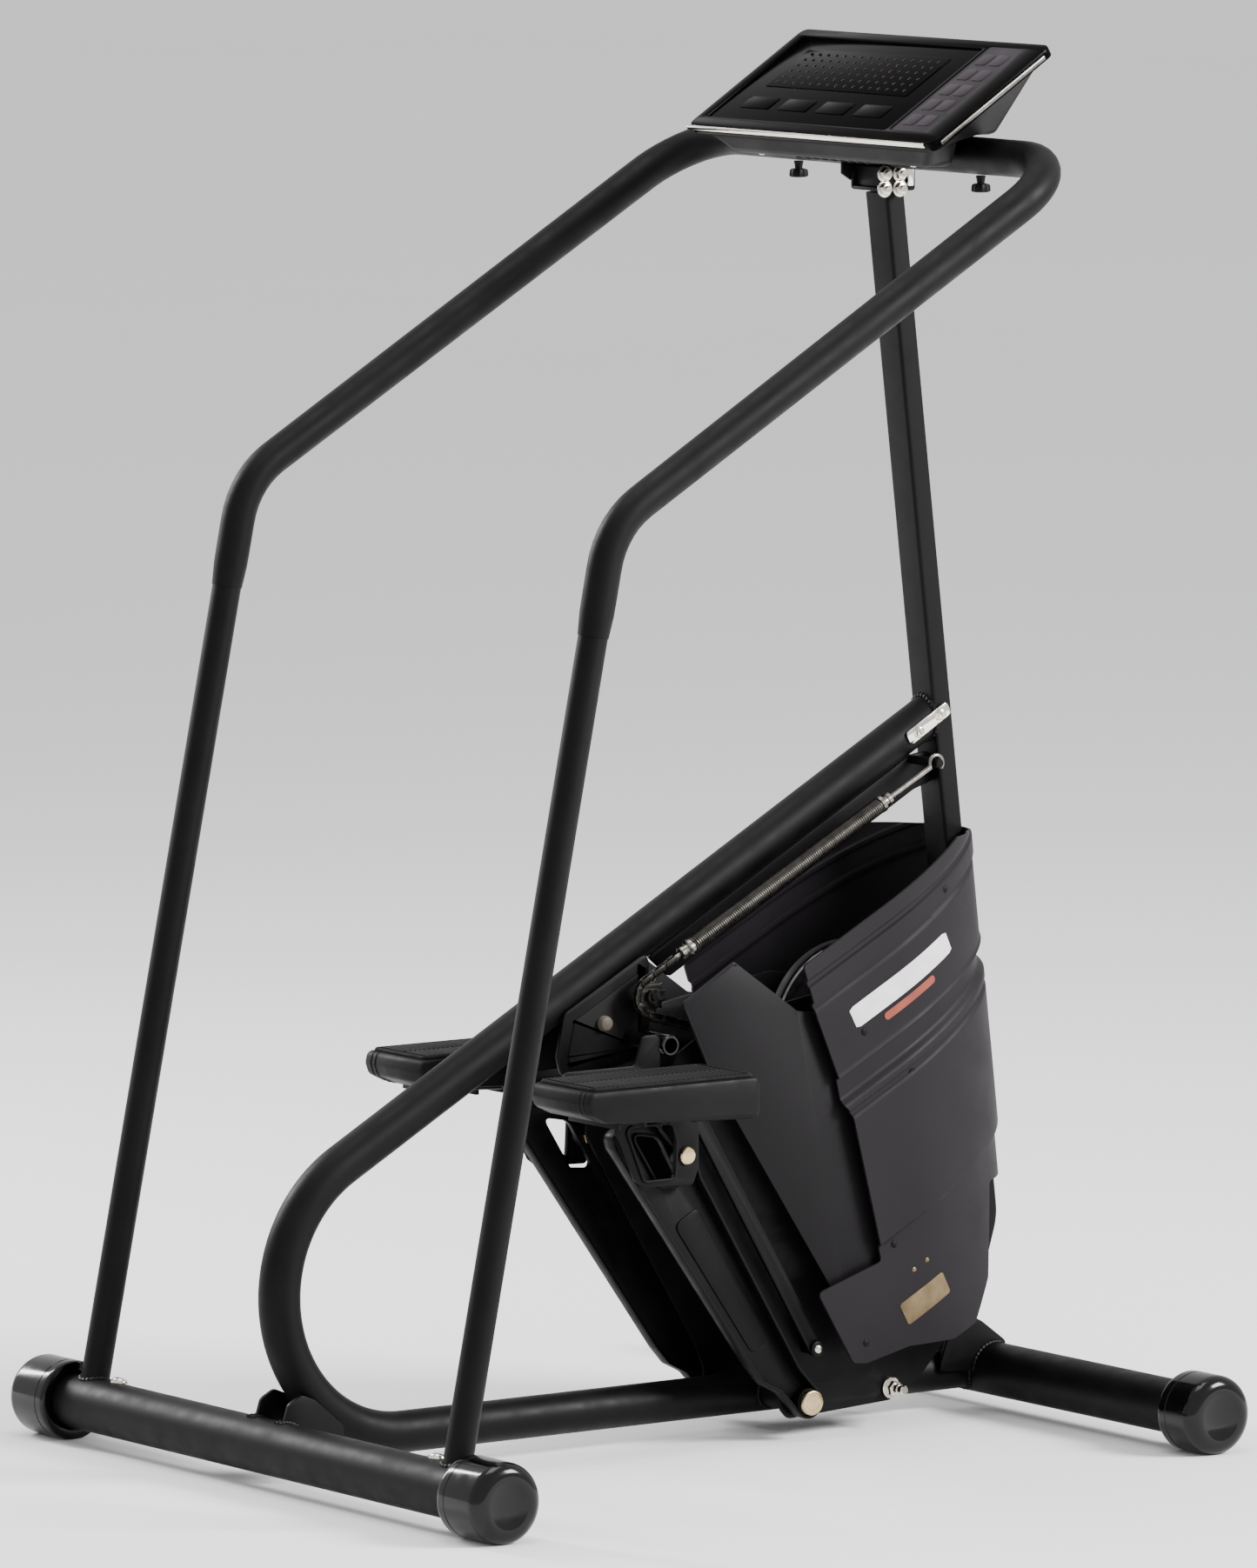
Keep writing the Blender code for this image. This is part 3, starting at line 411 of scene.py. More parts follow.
def fillet(outline, radius, count=5):
    """The outline with each corner rounded as far as its sides allow."""
    made = []
    total = len(outline)
    for i in range(total):
        before, corner, after = (Vector(outline[(i + k) % total]) for k in (-1, 0, 1))
        into, out = (corner - before), (after - corner)
        turn = into.angle_signed(out)
        if abs(turn) < math.radians(4):
            made.append(tuple(corner))
            continue
        reach = min(radius * math.tan(abs(turn) / 2), into.length * 0.48, out.length * 0.48)
        first, last = corner - into.normalized() * reach, corner + out.normalized() * reach
        for k in range(count + 1):
            t = k / count
            made.append(tuple(first * (1 - t) ** 2 + corner * 2 * t * (1 - t) + last * t ** 2))
    return made


def area(outline):
    return sum(a[0] * b[1] - b[0] * a[1] for a, b in zip(outline, outline[1:] + outline[:1])) / 2


def clockwise(loop, outline):
    """The loop turned the other way from the outline, as a hole in it is."""
    return loop[::-1] if area(loop) * area(outline) > 0 else loop


def offset(outline, distance):
    """The outline grown by distance, or shrunk where it is negative."""
    points = [Vector(p) for p in outline]
    turn = 1 if area(outline) > 0 else -1
    made = []
    for i, point in enumerate(points):
        into = (point - points[i - 1]).normalized()
        out = (points[(i + 1) % len(points)] - point).normalized()
        first, second = Vector((into.y, -into.x)), Vector((out.y, -out.x))
        made.append(tuple(point + (first + second) * (turn * distance / max(1 + first.dot(second), 0.35))))
    return made


def across_x(x, y, z):
    return Vector((x, y, z))


def upright(z, x, y):
    return Vector((x, y, z))


def add_slab(mesh, outline, x, edge=0.0008, place=across_x, holes=()):
    """An outline with holes, extruded over a range with rounded edges. place(across, a, b) gives a point."""
    low, high = min(x), max(x)
    steps = [(low, -edge), (low + 0.3 * edge, -0.3 * edge), (low + edge, 0), (high - edge, 0),
             (high - 0.3 * edge, -0.3 * edge), (high, -edge)]
    ends = ([], [])
    for k, loop in enumerate([outline, *(clockwise(hole, outline) for hole in holes)]):
        rings = []
        for across, shift in steps:
            ring = offset(loop, shift if k == 0 else -shift)
            rings.append([mesh.verts.new(place(across, a, b)) for a, b in ring])
        skin(mesh, rings)
        ends[0].append(rings[0])
        ends[1].append(rings[-1])
    for end in ends:
        if len(end) == 1:
            mesh.faces.new(end[0])
            continue
        corners = [v for ring in end for v in ring]
        flat_loops = [[(*flat(v.co), 0) for v in ring] for ring in end]
        for a, b, c in tessellate_polygon(flat_loops):
            mesh.faces.new((corners[a], corners[b], corners[c]))


def rectangle(low_a, low_b, high_a, high_b):
    return [(low_a, low_b), (high_a, low_b), (high_a, high_b), (low_a, high_b)]


def add_hex(mesh, point, direction, across, height, washer=True):
    """A hex head or nut with a chamfered top and a bolt's end, on a round washer."""
    radius = across / math.sqrt(3)
    lift = 0.0012 if washer else 0
    if washer:
        rim = [(0, radius * 1.25), (0.0009, radius * 1.28), (lift, radius * 1.2)]
        add_turned(mesh, rim, point, direction, 32)
    tip = lift + height
    nut = [(lift, radius), (lift + height * 0.8, radius), (lift + height * 0.93, radius * 0.95),
           (tip, radius * 0.84)]
    add_turned(mesh, nut, point, direction, 6, 0.3)
    end = [(tip - 0.001, radius * 0.5), (tip + 0.0016, radius * 0.5), (tip + 0.0024, radius * 0.40)]
    add_turned(mesh, end, point, direction, 20)


def add_dome(mesh, point, direction, radius, height):
    """A domed screw or carriage-bolt head."""
    turns = (0.2, 0.5, 0.8, 1.1, 1.35)
    profile = [(0, radius)] + [(height * math.sin(a), radius * math.cos(a)) for a in turns]
    add_turned(mesh, profile, point, direction, 28)


def bore(centre, radius, sides=28):
    """A round hole's loop."""
    return [(centre[0] + a, centre[1] - b) for a, b in circle(radius, sides)]


def span(x, sign):
    return (x[0] * sign, x[1] * sign)


def junction(foot, direction, radius, bar, bar_radius, sides=48):
    """The line where a tube's skin meets a bar along X at (y, z) bar, on the tube's outgoing side."""
    direction = direction.normalized()
    side, up = axes_of(direction)
    loop = []
    for i in range(sides):
        turn = 2 * math.pi * i / sides
        start = foot + side * radius * math.cos(turn) + up * radius * math.sin(turn)
        y, z = start.y - bar[0], start.z - bar[1]
        a = direction.y ** 2 + direction.z ** 2
        b = 2 * (y * direction.y + z * direction.z)
        c = y * y + z * z - bar_radius ** 2
        loop.append(start + direction * (-b + math.sqrt(max(b * b - 4 * a * c, 0))) / (2 * a))
    return loop


# ---------------------------------------------------------------- frame

def crossbars():
    inner = BAR_RADIUS - 0.003
    for name, y in (("rear_crossbar", -BAR_Y), ("front_crossbar", BAR_Y)):
        half = half_size(name).x
        profile = [(-half, inner), (-half, BAR_RADIUS), (half, BAR_RADIUS), (half, inner)]
        with piece(f"{name}_tube", PAINT, "frame", name) as mesh:
            add_ring(mesh, profile, (y, BAR_Z), sides=96)


def cap_profile(length, rounding=0.015):
    """From the mouth's bore over the lip, along the side with its moulded line and over the rounded end."""
    turns = (0, 0.2, 0.4, 0.6, 0.8, 1.0, 1.2, 1.4, math.pi / 2)
    end = [(length - rounding * (1 - math.sin(a)), CAP_RADIUS - rounding * (1 - math.cos(a))) for a in turns]
    lip = [(0.010, 0.0306), (0.0006, 0.0306), (0, 0.0320), (0, 0.0412), (0.0010, 0.0430), (0.003, 0.0440)]
    line = [(0.006, 0), (0.0135, 0), (0.0141, 0.0006), (0.0153, 0.0006), (0.0159, 0)]
    side = [(along, CAP_RADIUS - depth) for along, depth in line]
    return [*lip, *side, *end, (length - 0.0004, 0.024), (length - 0.0010, 0.0225), (length - 0.0010, 0.0020)]


def end_caps():
    """Rubber cups with a rolled lip, a moulded line, a dished end and a foot worn flat."""
    for end in ("rear", "front"):
        for side, sign in SIDES.items():
            name = f"end_cap_{end}_{side}"
            low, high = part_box(name)
            mouth = low.x if sign > 0 else high.x
            with piece(f"{name}_cup", CAP, "frame", name) as mesh:
                origin = (mouth, middle(name).y, BAR_Z)
                add_turned(mesh, cap_profile(high.x - low.x), origin, (sign, 0, 0), 96)
                for vertex in mesh.verts:
                    vertex.co.z = max(vertex.co.z, 0.0)


def onto_mast(point, face):
    """The point moved along the diagonal to the mast's rear face, face metres behind its middle line."""
    level = MAST_LEVEL_Y + MAST_LEAN * MAST_LEVEL - face
    travel = (level - point.y - MAST_LEAN * point.z) / (ALONG_DIAGONAL.y + MAST_LEAN * ALONG_DIAGONAL.z)
    return point + ALONG_DIAGONAL * travel


def loop_tube():
    last = math.degrees(DIAGONAL) - 270
    bend = [Vector((0, y, z)) for y, z in arc(flat(BEND_CENTRE), BEND_RADIUS, -90, last, 64)]
    up = Vector((0, -math.sin(DIAGONAL), math.cos(DIAGONAL)))
    top = BEND_CENTRE + up * BEND_RADIUS + ALONG_DIAGONAL * 0.75
    with piece("loop_frame_tube", PAINT, "frame", "loop_tube") as mesh:
        path = [Vector((0, BAR_Y - 0.012, BAR_Z)), *bend, top]
        rings = add_sweep(mesh, path, circle(LOOP_RADIUS, 56), side=(1, 0, 0))
        for vertex in rings[-1]:
            vertex.co = onto_mast(vertex.co, MAST_HALF[1] * 1.007)
        joint_line = [vertex.co.copy() for vertex in rings[-1]]
    bar = (BAR_Y, BAR_Z)
    with piece("loop_frame_welds", WELD) as mesh:
        add_bead(mesh, joint_line, 0.0030)
        add_bead(mesh, junction(Vector((0, *bar)), Vector((0, -1, 0)), LOOP_RADIUS, bar, BAR_RADIUS), 0.0030)


def rounded_rectangle(half_x, half_y, radius):
    return fillet([(half_x, half_y), (-half_x, half_y), (-half_x, -half_y), (half_x, -half_y)], radius, 5)


def mast():
    levels = ((MAST_FOOT_Y, 0.050), (mast_y(MAST_KINK), MAST_KINK), (mast_y(MAST_TOP), MAST_TOP))
    path = rounded_path([Vector((0, y, z)) for y, z in levels], [0.06])
    with piece("mast_tube", PAINT, "frame", "mast", sharp=50) as mesh:
        add_sweep(mesh, path, rounded_rectangle(*MAST_HALF, 0.0045), side=(1, 0, 0))
    outline = rounded_rectangle(MAST_HALF[0] + 0.0005, MAST_HALF[1] + 0.0005, 0.005)
    with piece("mast_foot_weld", WELD) as mesh:
        foot = [Vector((x, MAST_FOOT_Y + y, 0.0655 + (0.0015 if abs(x) < 0.015 else 0))) for x, y in outline]
        add_bead(mesh, foot, 0.0026)


def gussets():
    outlines = {
        "rear": [(-0.480, 0.066), (-0.472, 0.092), (-0.455, 0.101), (-0.438, 0.094), (-0.400, 0.062),
                 (-0.402, 0.046), (-0.470, 0.043)],
        "front": [(0.402, 0.046), (0.416, 0.087), (0.430, 0.115), (0.463, 0.098), (0.498, 0.072),
                  (0.480, 0.043)],
    }
    for end, outline in outlines.items():
        for side, sign in SIDES.items():
            with piece(f"{end}_gusset_{side}_plate", PRESSED, "frame", f"{end}_gusset_{side}") as mesh:
                add_slab(mesh, fillet(outline, 0.008), span(GUSSET_X, sign), 0.0012)
    reach = 0.0305
    turns = [math.radians(a) - 0.35 for a in range(8, 112, 6)]
    with piece("gusset_welds", WELD) as mesh:
        for sign in SIDES.values():
            for x in (0.0232, 0.0300):
                for y, flip in ((-BAR_Y, 1), (BAR_Y, -1)):
                    run = [(sign * x, y + flip * reach * math.sin(a), BAR_Z + reach * math.cos(a))
                           for a in turns]
                    add_bead(mesh, [Vector(point) for point in run], 0.0022, closed=False)


def handrail():
    leg = (RAIL_KNEE - RAIL_FOOT).normalized()
    half = [RAIL_FOOT + leg * 0.012, RAIL_KNEE, RAIL_CORNER]
    mirrored = [Vector((-p.x, p.y, p.z)) for p in reversed(half)]
    path = rounded_path(half + mirrored, [0.10, 0.085, 0.085, 0.10])
    with piece("handrail_tube", PAINT, "frame", "handrail") as mesh:
        add_sweep(mesh, path, circle(RAIL_RADIUS, 40))
    grip_sleeve(path)
    with piece("handrail_foot_welds", WELD) as mesh:
        for sign in SIDES.values():
            foot, way = (Vector((p.x * sign, p.y, p.z)) for p in (RAIL_FOOT, leg))
            add_bead(mesh, junction(foot, way, RAIL_RADIUS, (-BAR_Y, BAR_Z), BAR_RADIUS), 0.0028)
    across = Vector((0, 0.35, 0.94)).normalized()
    with piece("crossbar_carriage_bolts", CHROME) as mesh:
        for sign in SIDES.values():
            seat = Vector((sign * 0.3075, -BAR_Y, BAR_Z)) + across * BAR_RADIUS
            add_turned(mesh, [(-0.002, 0.0112), (0.0008, 0.0112), (0.0014, 0.0106)], seat, across, 28)
            add_dome(mesh, seat + across * 0.0012, across, 0.0094, 0.0052)


def grip_sleeve(path):
    """Dipped vinyl over the upper rail, thicker towards the front, with a soft lip at each end."""
    fine = resample(path, 0.012)
    lengths = lengths_along(fine)
    total = lengths[-1]
    first = (RAIL_KNEE - RAIL_FOOT).length - GRIP_BELOW_KNEE
    kept = [i for i, s in enumerate(lengths) if first <= s <= total - first]
    sections = []
    for i in kept:
        inset = min(lengths[i], total - lengths[i]) - first
        share = inset / (total / 2 - first)
        lip = min(1.0, 0.25 + inset / 0.035)
        sections.append(circle(RAIL_RADIUS + (0.0026 + 0.0022 * share) * lip, 40))
    with piece("handrail_grip_sleeve", GRIP, "frame", "handrail_grip") as mesh:
        add_sweep(mesh, [fine[i] for i in kept], sections)


# ---------------------------------------------------------------- console

def console_point(x, up, out):
    return CONSOLE_EDGE + Matrix.Rotation(CONSOLE_TILT, 3, "X") @ Vector((x, up, out))


def in_console(out, x, up):
    return console_point(x, up, out)


def add_tile(mesh, x, up, out, radius=0.003, edge=0.0006):
    """A rounded panel in the console's own axes."""
    add_slab(mesh, fillet(rectangle(x[0], up[0], x[1], up[1]), radius), out, edge, in_console)


def console_housing():
    """A moulded wedge that narrows downwards, with a rolled lower apron over the rail."""
    top = [flat(console_point(0, up, -BEZEL - 0.0002)) for up in (0.185, 0.006)]
    low = [(0.268, 1.404), (0.306, 1.404), (0.3165, 1.4368), (0.366, 1.4368)]
    # The housing takes the darker shell copy: painted shade under the console.
    with piece("console_housing_shell", SHADED_SHELL, "frame", "console_housing") as mesh:
        ends = []
        for sign in (-1, 1):
            corners = [(sign * 0.214, *p) for p in top] + [(sign * 0.176, *p) for p in low]
            ends.append([mesh.verts.new(corner) for corner in corners])
        skin(mesh, ends, caps=(True, True))
    rounding = bpy.data.objects["console_housing_shell"].modifiers.new("rounding", "BEVEL")
    rounding.width = 0.007
    rounding.segments = 5
    rounding.limit_method = "ANGLE"
    with piece("console_housing_screws", ZINC) as mesh:
        for x in (-0.14, 0.14):
            for y in (0.279, 0.296):
                add_dome(mesh, Vector((x, y, 1.4042)), (0, 0, -1), 0.0036, 0.0018)
    with piece("console_speaker_ribs", SHELL) as mesh:
        for k in range(9):
            x = -0.064 + 0.016 * k
            rib = fillet(rectangle(x - 0.005, 0.272, x + 0.005, 0.302), 0.003)
            add_slab(mesh, rib, (1.4028, 1.4046), 0.0004, upright)


def console_board():
    with piece("console_circuit_board", BOARD, "frame", "console_board") as mesh:
        add_tile(mesh, (-0.155, 0.155), (0.052, 0.134), (-0.0297, -0.0270), 0.002)
    chips = ((-0.10, 0.09, 0.02, 0.02), (-0.04, 0.08, 0.03, 0.012), (0.03, 0.10, 0.014, 0.03),
             (0.09, 0.09, 0.024, 0.024))
    with piece("console_board_chips", CHIP) as mesh:
        for x, up, width, depth in chips:
            sides = (up - depth / 2, up + depth / 2)
            add_tile(mesh, (x, x + width), sides, (-0.0270, -0.0235), 0.001, 0.0004)


def console_face():
    outline = fillet(rectangle(-CONSOLE_HALF, 0, CONSOLE_HALF, CONSOLE_LENGTH), 0.012, 8)
    display = fillet([(-0.212, 0.018), (-0.212, 0.176), (0.122, 0.176), (0.122, 0.018)], 0.004)
    keypad = fillet([(0.130, 0.020), (0.130, 0.180), (0.190, 0.180), (0.190, 0.020)], 0.004)
    with piece("console_bezel_frame", GLOSS, "frame", "console_bezel") as mesh:
        add_slab(mesh, outline, (-BEZEL, 0), 0.0016, holes=[display, keypad])
        for vertex in mesh.verts:
            vertex.co = in_console(*vertex.co)
    with piece("console_display_window", WINDOW, "frame", "console_display") as mesh:
        add_tile(mesh, (-0.214, 0.124), (0.016, 0.178), (-0.0080, -0.0022), 0.003, 0.0004)
    with piece("console_display_panes", WINDOW) as mesh:
        for k in range(4):
            left = -0.176 + 0.070 * k
            add_tile(mesh, (left, left + 0.052), (0.040, 0.062), (-0.0024, -0.0012), 0.003, 0.0005)
        add_tile(mesh, (-0.176, 0.086), (0.082, 0.156), (-0.0024, -0.0012), 0.004, 0.0005)
    facing = console_point(0, 0, 1) - console_point(0, 0, 0)
    with piece("console_led_lenses", LENS) as mesh:
        for column in range(16):
            for row in range(6):
                spot = console_point(-0.163 + 0.0157 * column, 0.0915 + 0.0111 * row, -0.0013)
                add_dome(mesh, spot, facing, 0.0022, 0.0008)
    with piece("console_keypad_film", FILM, "frame", "console_keypad") as mesh:
        add_tile(mesh, (0.1282, 0.1918), (0.0182, 0.1818), (-0.0060, -0.0006), 0.004, 0.0004)
    with piece("console_keypad_keys", KEY) as mesh:
        for row in range(5):
            for left in (0.137, 0.163):
                low = 0.030 + 0.029 * row
                add_tile(mesh, (left, left + 0.020), (low, low + 0.020), (-0.0008, 0.0002), 0.004, 0.0004)
    console_trim()


def console_trim():
    """A bright strip along the low edge and a duller one up the right-hand side."""
    low = fillet(rectangle(-0.229, -0.0016, 0.210, 0.0022), 0.001)
    right = fillet([(0.2262, 0.010), (0.2286, 0.010), (0.2296, 0.176), (0.2262, 0.176)], 0.0008)
    with piece("console_edge_trim", CHROME) as mesh:
        add_slab(mesh, low, (-0.0064, -0.0010), 0.0005, in_console)
    with piece("console_side_trim", DULL_ZINC) as mesh:
        add_slab(mesh, right, (-0.0085, -0.0040), 0.0005, in_console)


def console_knobs():
    """Locking knobs under the rail: a stem and a fluted hand wheel."""
    stem = [(0, 0.0048), (0.0010, 0.0056), (0.0030, 0.0050), (0.0078, 0.0042), (0.0100, 0.0046)]
    for side in SIDES:
        name = f"console_knob_{side}"
        spot, foot = middle(name), 2 * half_size(name).z
        spot.z += foot / 2
        wheel = [(0.0086, 0.0060), (0.0096, 0.0092), (0.0112, 0.0100), (foot - 0.0022, 0.0104),
                 (foot - 0.0008, 0.0096), (foot, 0.0070)]
        with piece(f"{name}_wheel", PEDAL, "frame", name) as mesh:
            add_turned(mesh, stem, spot, (0, 0, -1), 32)
            add_turned(mesh, wheel, spot, (0, 0, -1), 72, wave=lambda a: 1 + 0.05 * math.cos(9 * a))


def rail_clamp():
    """The saddle on the mast's top: a folded bracket, a block under the rail and a plated nut cluster."""
    low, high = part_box("rail_clamp")
    cheek = [(low.y, low.z), (high.y, low.z), (high.y, high.z + 0.002), (high.y - 0.010, high.z + 0.008),
             (low.y + 0.012, high.z + 0.008), (low.y, high.z - 0.002)]
    teeth = [(0.309, 1.399), (0.353, 1.399), (0.353, 1.384), (0.345, 1.386), (0.338, 1.3725), (0.330, 1.384),
             (0.322, 1.378), (0.309, 1.386)]
    deck = rectangle(low.y, low.z, high.y, low.z + 0.004)
    block = rectangle(low.y + 0.004, low.z + 0.003, high.y - 0.004, high.z + 0.004)
    with piece("rail_clamp_bracket", PAINT, "frame", "rail_clamp") as mesh:
        for x in ((-0.0300, -0.0262), (0.0262, 0.0300)):
            add_slab(mesh, fillet(cheek, 0.004), x, 0.0008)
        add_slab(mesh, fillet(deck, 0.001), (-0.0265, 0.0265), 0.0006)
        add_slab(mesh, fillet(block, 0.003), (-0.0255, 0.0255), 0.001)
        add_slab(mesh, fillet(teeth, 0.002), (-0.0345, -0.0305), 0.0006)
    with piece("rail_clamp_nuts", ZINC) as mesh:
        for y in (0.3215, 0.3425):
            for z in (1.3720, 1.3885):
                add_hex(mesh, Vector((0.0300, y, z)), (1, 0, 0), 0.0130, 0.0052)
    with piece("rail_clamp_strap", CHROME) as mesh:
        strap = [(0.352, 1.374), (0.360, 1.374), (0.361, 1.396), (0.352, 1.396)]
        add_slab(mesh, fillet(strap, 0.002), (0.0300, 0.0330), 0.0006)


# ---------------------------------------------------------------- pedal linkage

def pivot():
    reach = half_size("pivot_sleeve").x
    sleeve = [(-reach, SHAFT_BORE), (-reach, 0.0138), (-reach + 0.0008, 0.0145), (reach - 0.0008, 0.0145),
              (reach, 0.0138), (reach, SHAFT_BORE)]
    with piece("pivot_sleeve_tube", PAINT, "frame", "pivot_sleeve") as mesh:
        add_ring(mesh, sleeve, ARM_PIVOT)
    reach = half_size("pivot_shaft").x
    rod = [(-reach, 0.0072), (-reach + 0.001, 0.008), (reach - 0.001, 0.008), (reach, 0.0072)]
    with piece("pivot_shaft_rod", STEEL, "frame", "pivot_shaft") as mesh:
        add_hub(mesh, rod, ARM_PIVOT)
    with piece("pivot_sleeve_welds", WELD) as mesh:
        for sign in SIDES.values():
            loop = [(sign * 0.0232, ARM_PIVOT[0] + a, ARM_PIVOT[1] + b) for a, b in circle(0.0158, 40)]
            add_bead(mesh, [Vector(point) for point in loop], 0.0022)
    cap = [(0.0983, 0.0132), (0.0991, 0.0140), (0.1036, 0.0140), (0.1050, 0.0132), (0.1056, 0.0118),
           (0.1054, 0.0088), (0.1046, 0.0080), (0.1046, 0.0030)]
    for side, sign in SIDES.items():
        with piece(f"pivot_cap_{side}_button", BRASS, "frame", f"pivot_cap_{side}") as mesh:
            add_hub(mesh, cap, ARM_PIVOT, sign, 56)
    cross_bolt()


def cross_bolt():
    with piece("cross_bolt_and_nuts", CHROME, "frame", "cross_bolt") as mesh:
        add_hub(mesh, [(-0.092, 0.006), (0.092, 0.006)], CROSS_BOLT, sides=24)
        for sign in SIDES.values():
            washer = [(0.0744, 0.0112), (0.0750, 0.0118), (0.0762, 0.0118), (0.0768, 0.0110)]
            add_hub(mesh, washer, CROSS_BOLT, sign, 40)
            add_hex(mesh, Vector((sign * 0.0768, *CROSS_BOLT)), (sign, 0, 0), 0.0155, 0.0085, washer=False)
            add_hub(mesh, [(0.085, 0.0052), (0.0995, 0.0052), (0.1008, 0.0042)], CROSS_BOLT, sign, 24)


def arm_outline():
    foot = arc((0, 0), 0.019, 60, 240, 12)
    head = arc((ARM_LENGTH, 0), 0.016, -10, 118, 8)
    rear = [(0.052, -0.040), (0.078, -0.045), (0.395, -0.074), (0.408, -0.070), (0.411, -0.046),
            (0.385, -0.010)]
    corners = [*rear, *head, (0.300, 0.008), (0.040, 0.010), *foot, (0.030, -0.026)]
    return fillet([on_arm(*p) for p in corners], 0.010, 5)


def arm(side, sign):
    """A pressed channel, open outwards: web, rolled flange, window rim, two bosses and a pressed panel."""
    outline = arm_outline()
    corners = ((0.389, -0.0394), (0.369, -0.0165), (0.361, -0.0132), (0.3085, -0.0128), (0.3057, -0.0179),
               (0.3197, -0.0376))
    window = fillet([on_arm(*p) for p in corners], 0.005)
    raised = ((0.085, -0.030), (0.270, -0.044), (0.270, -0.008), (0.085, -0.008))
    panel = fillet([on_arm(*p) for p in raised], 0.010)
    bores = [bore(ARM_PIVOT, SHAFT_BORE), bore(PEDAL_PIVOT, BOLT_BORE)]
    bosses = ((ARM_PIVOT, SHAFT_BORE, 0.0150, 0.0980), (PEDAL_PIVOT, BOLT_BORE, 0.0125, 0.0965))
    with piece(f"pedal_arm_{side}_pressing", PRESSED, f"arm_{side}", f"pedal_arm_{side}") as mesh:
        add_slab(mesh, outline, span(ARM_WEB_X, sign), 0.0008, holes=[window, *bores])
        add_slab(mesh, outline, span(ARM_FLANGE_X, sign), 0.0011, holes=[offset(outline, -0.0034)])
        add_slab(mesh, offset(window, 0.0030), span((0.0812, 0.0885), sign), 0.0010, holes=[window])
        for centre, hole, outer, top in bosses:
            ring = [(0.0815, hole), (0.0815, outer), (top - 0.001, outer), (top, outer - 0.001), (top, hole)]
            add_ring(mesh, ring, centre, sign, 40)
        add_slab(mesh, panel, span((0.0840, 0.0866), sign), 0.0012)
    pedal_bolt(side, sign)


def pedal_bolt(side, sign):
    low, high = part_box(f"pedal_bolt_{side}")
    inner, outer = sorted((abs(low.x), abs(high.x)))
    head = [(0.1034, 0.0096), (0.1042, 0.0100), (0.1060, 0.0098), (0.1074, 0.0086), (0.1079, 0.0060)]
    with piece(f"pedal_bolt_{side}_hardware", BRASS, f"arm_{side}", f"pedal_bolt_{side}") as mesh:
        add_hub(mesh, [(inner, 0.0058), (outer - 0.001, 0.0058)], PEDAL_PIVOT, sign, 24)
        add_hub(mesh, head, PEDAL_PIVOT, sign, 36)
        seat = Vector((sign * (inner + 0.0042), *PEDAL_PIVOT))
        add_hex(mesh, seat, (-sign, 0, 0), 0.0150, 0.0036, washer=False)


def link(side, sign):
    tilt = math.degrees(ARM_ANGLE)
    outline = arc(LINK_END, 0.009, tilt, tilt + 180, 20) + arc(LINK_PIVOT, 0.009, tilt + 180, tilt + 360, 20)
    bores = [bore(LINK_PIVOT, 0.0053), bore(LINK_END, 0.006)]
    with piece(f"levelling_link_{side}_bar", PRESSED, f"link_{side}", f"levelling_link_{side}") as mesh:
        add_slab(mesh, outline, span(LINK_X, sign), 0.0012, holes=bores)


def carrier(side, sign):
    """A flat plate with a rimmed window, a stop tab behind its head and the stud for the link."""
    tab = -0.0343
    outline = fillet([(-0.165, 0.397), (-0.100, 0.394), (-0.094, 0.364), (-0.068, 0.310), (-0.056, 0.301),
                      (0.010, 0.299), (0.018, 0.318), (0.018, 0.372), (0.026, 0.386), (0.024, 0.400),
                      (0.010, 0.408), (tab, 0.420), (tab, 0.464), (tab - 0.006, 0.468), (tab - 0.022, 0.468),
                      (tab - 0.034, 0.436), (-0.158, 0.436), (-0.165, 0.430)], 0.006)
    window = fillet([(-0.079, 0.368), (-0.020, 0.368), (-0.014, 0.350), (-0.016, 0.309),
                     (-0.055, 0.309)], 0.006)
    end = 0.0877
    stud = [(end - 0.0035, 0.0078), (end - 0.0028, 0.0085), (end - 0.0006, 0.0085), (end, 0.0080),
            (end, 0.005), (0.0943, 0.005), (0.0943, 0.0075), (0.1012, 0.0075)]
    cap = [(0.1028, 0.0072), (0.1048, 0.0072), (0.1062, 0.0062), (0.1066, 0.0040)]
    with piece(f"pedal_carrier_{side}_plate", PRESSED, f"pedal_{side}", f"pedal_carrier_{side}") as mesh:
        add_slab(mesh, outline, span(CARRIER_X, sign), 0.0009, holes=[window, bore(PEDAL_PIVOT, BOLT_BORE)])
        add_slab(mesh, offset(window, 0.0034), span((0.0990, 0.1052), sign), 0.0010, holes=[window])
        add_hub(mesh, stud, LINK_END, sign, 36)
    with piece(f"pedal_carrier_{side}_stud_cap", CAP, f"pedal_{side}") as mesh:
        add_hub(mesh, cap, LINK_END, sign)


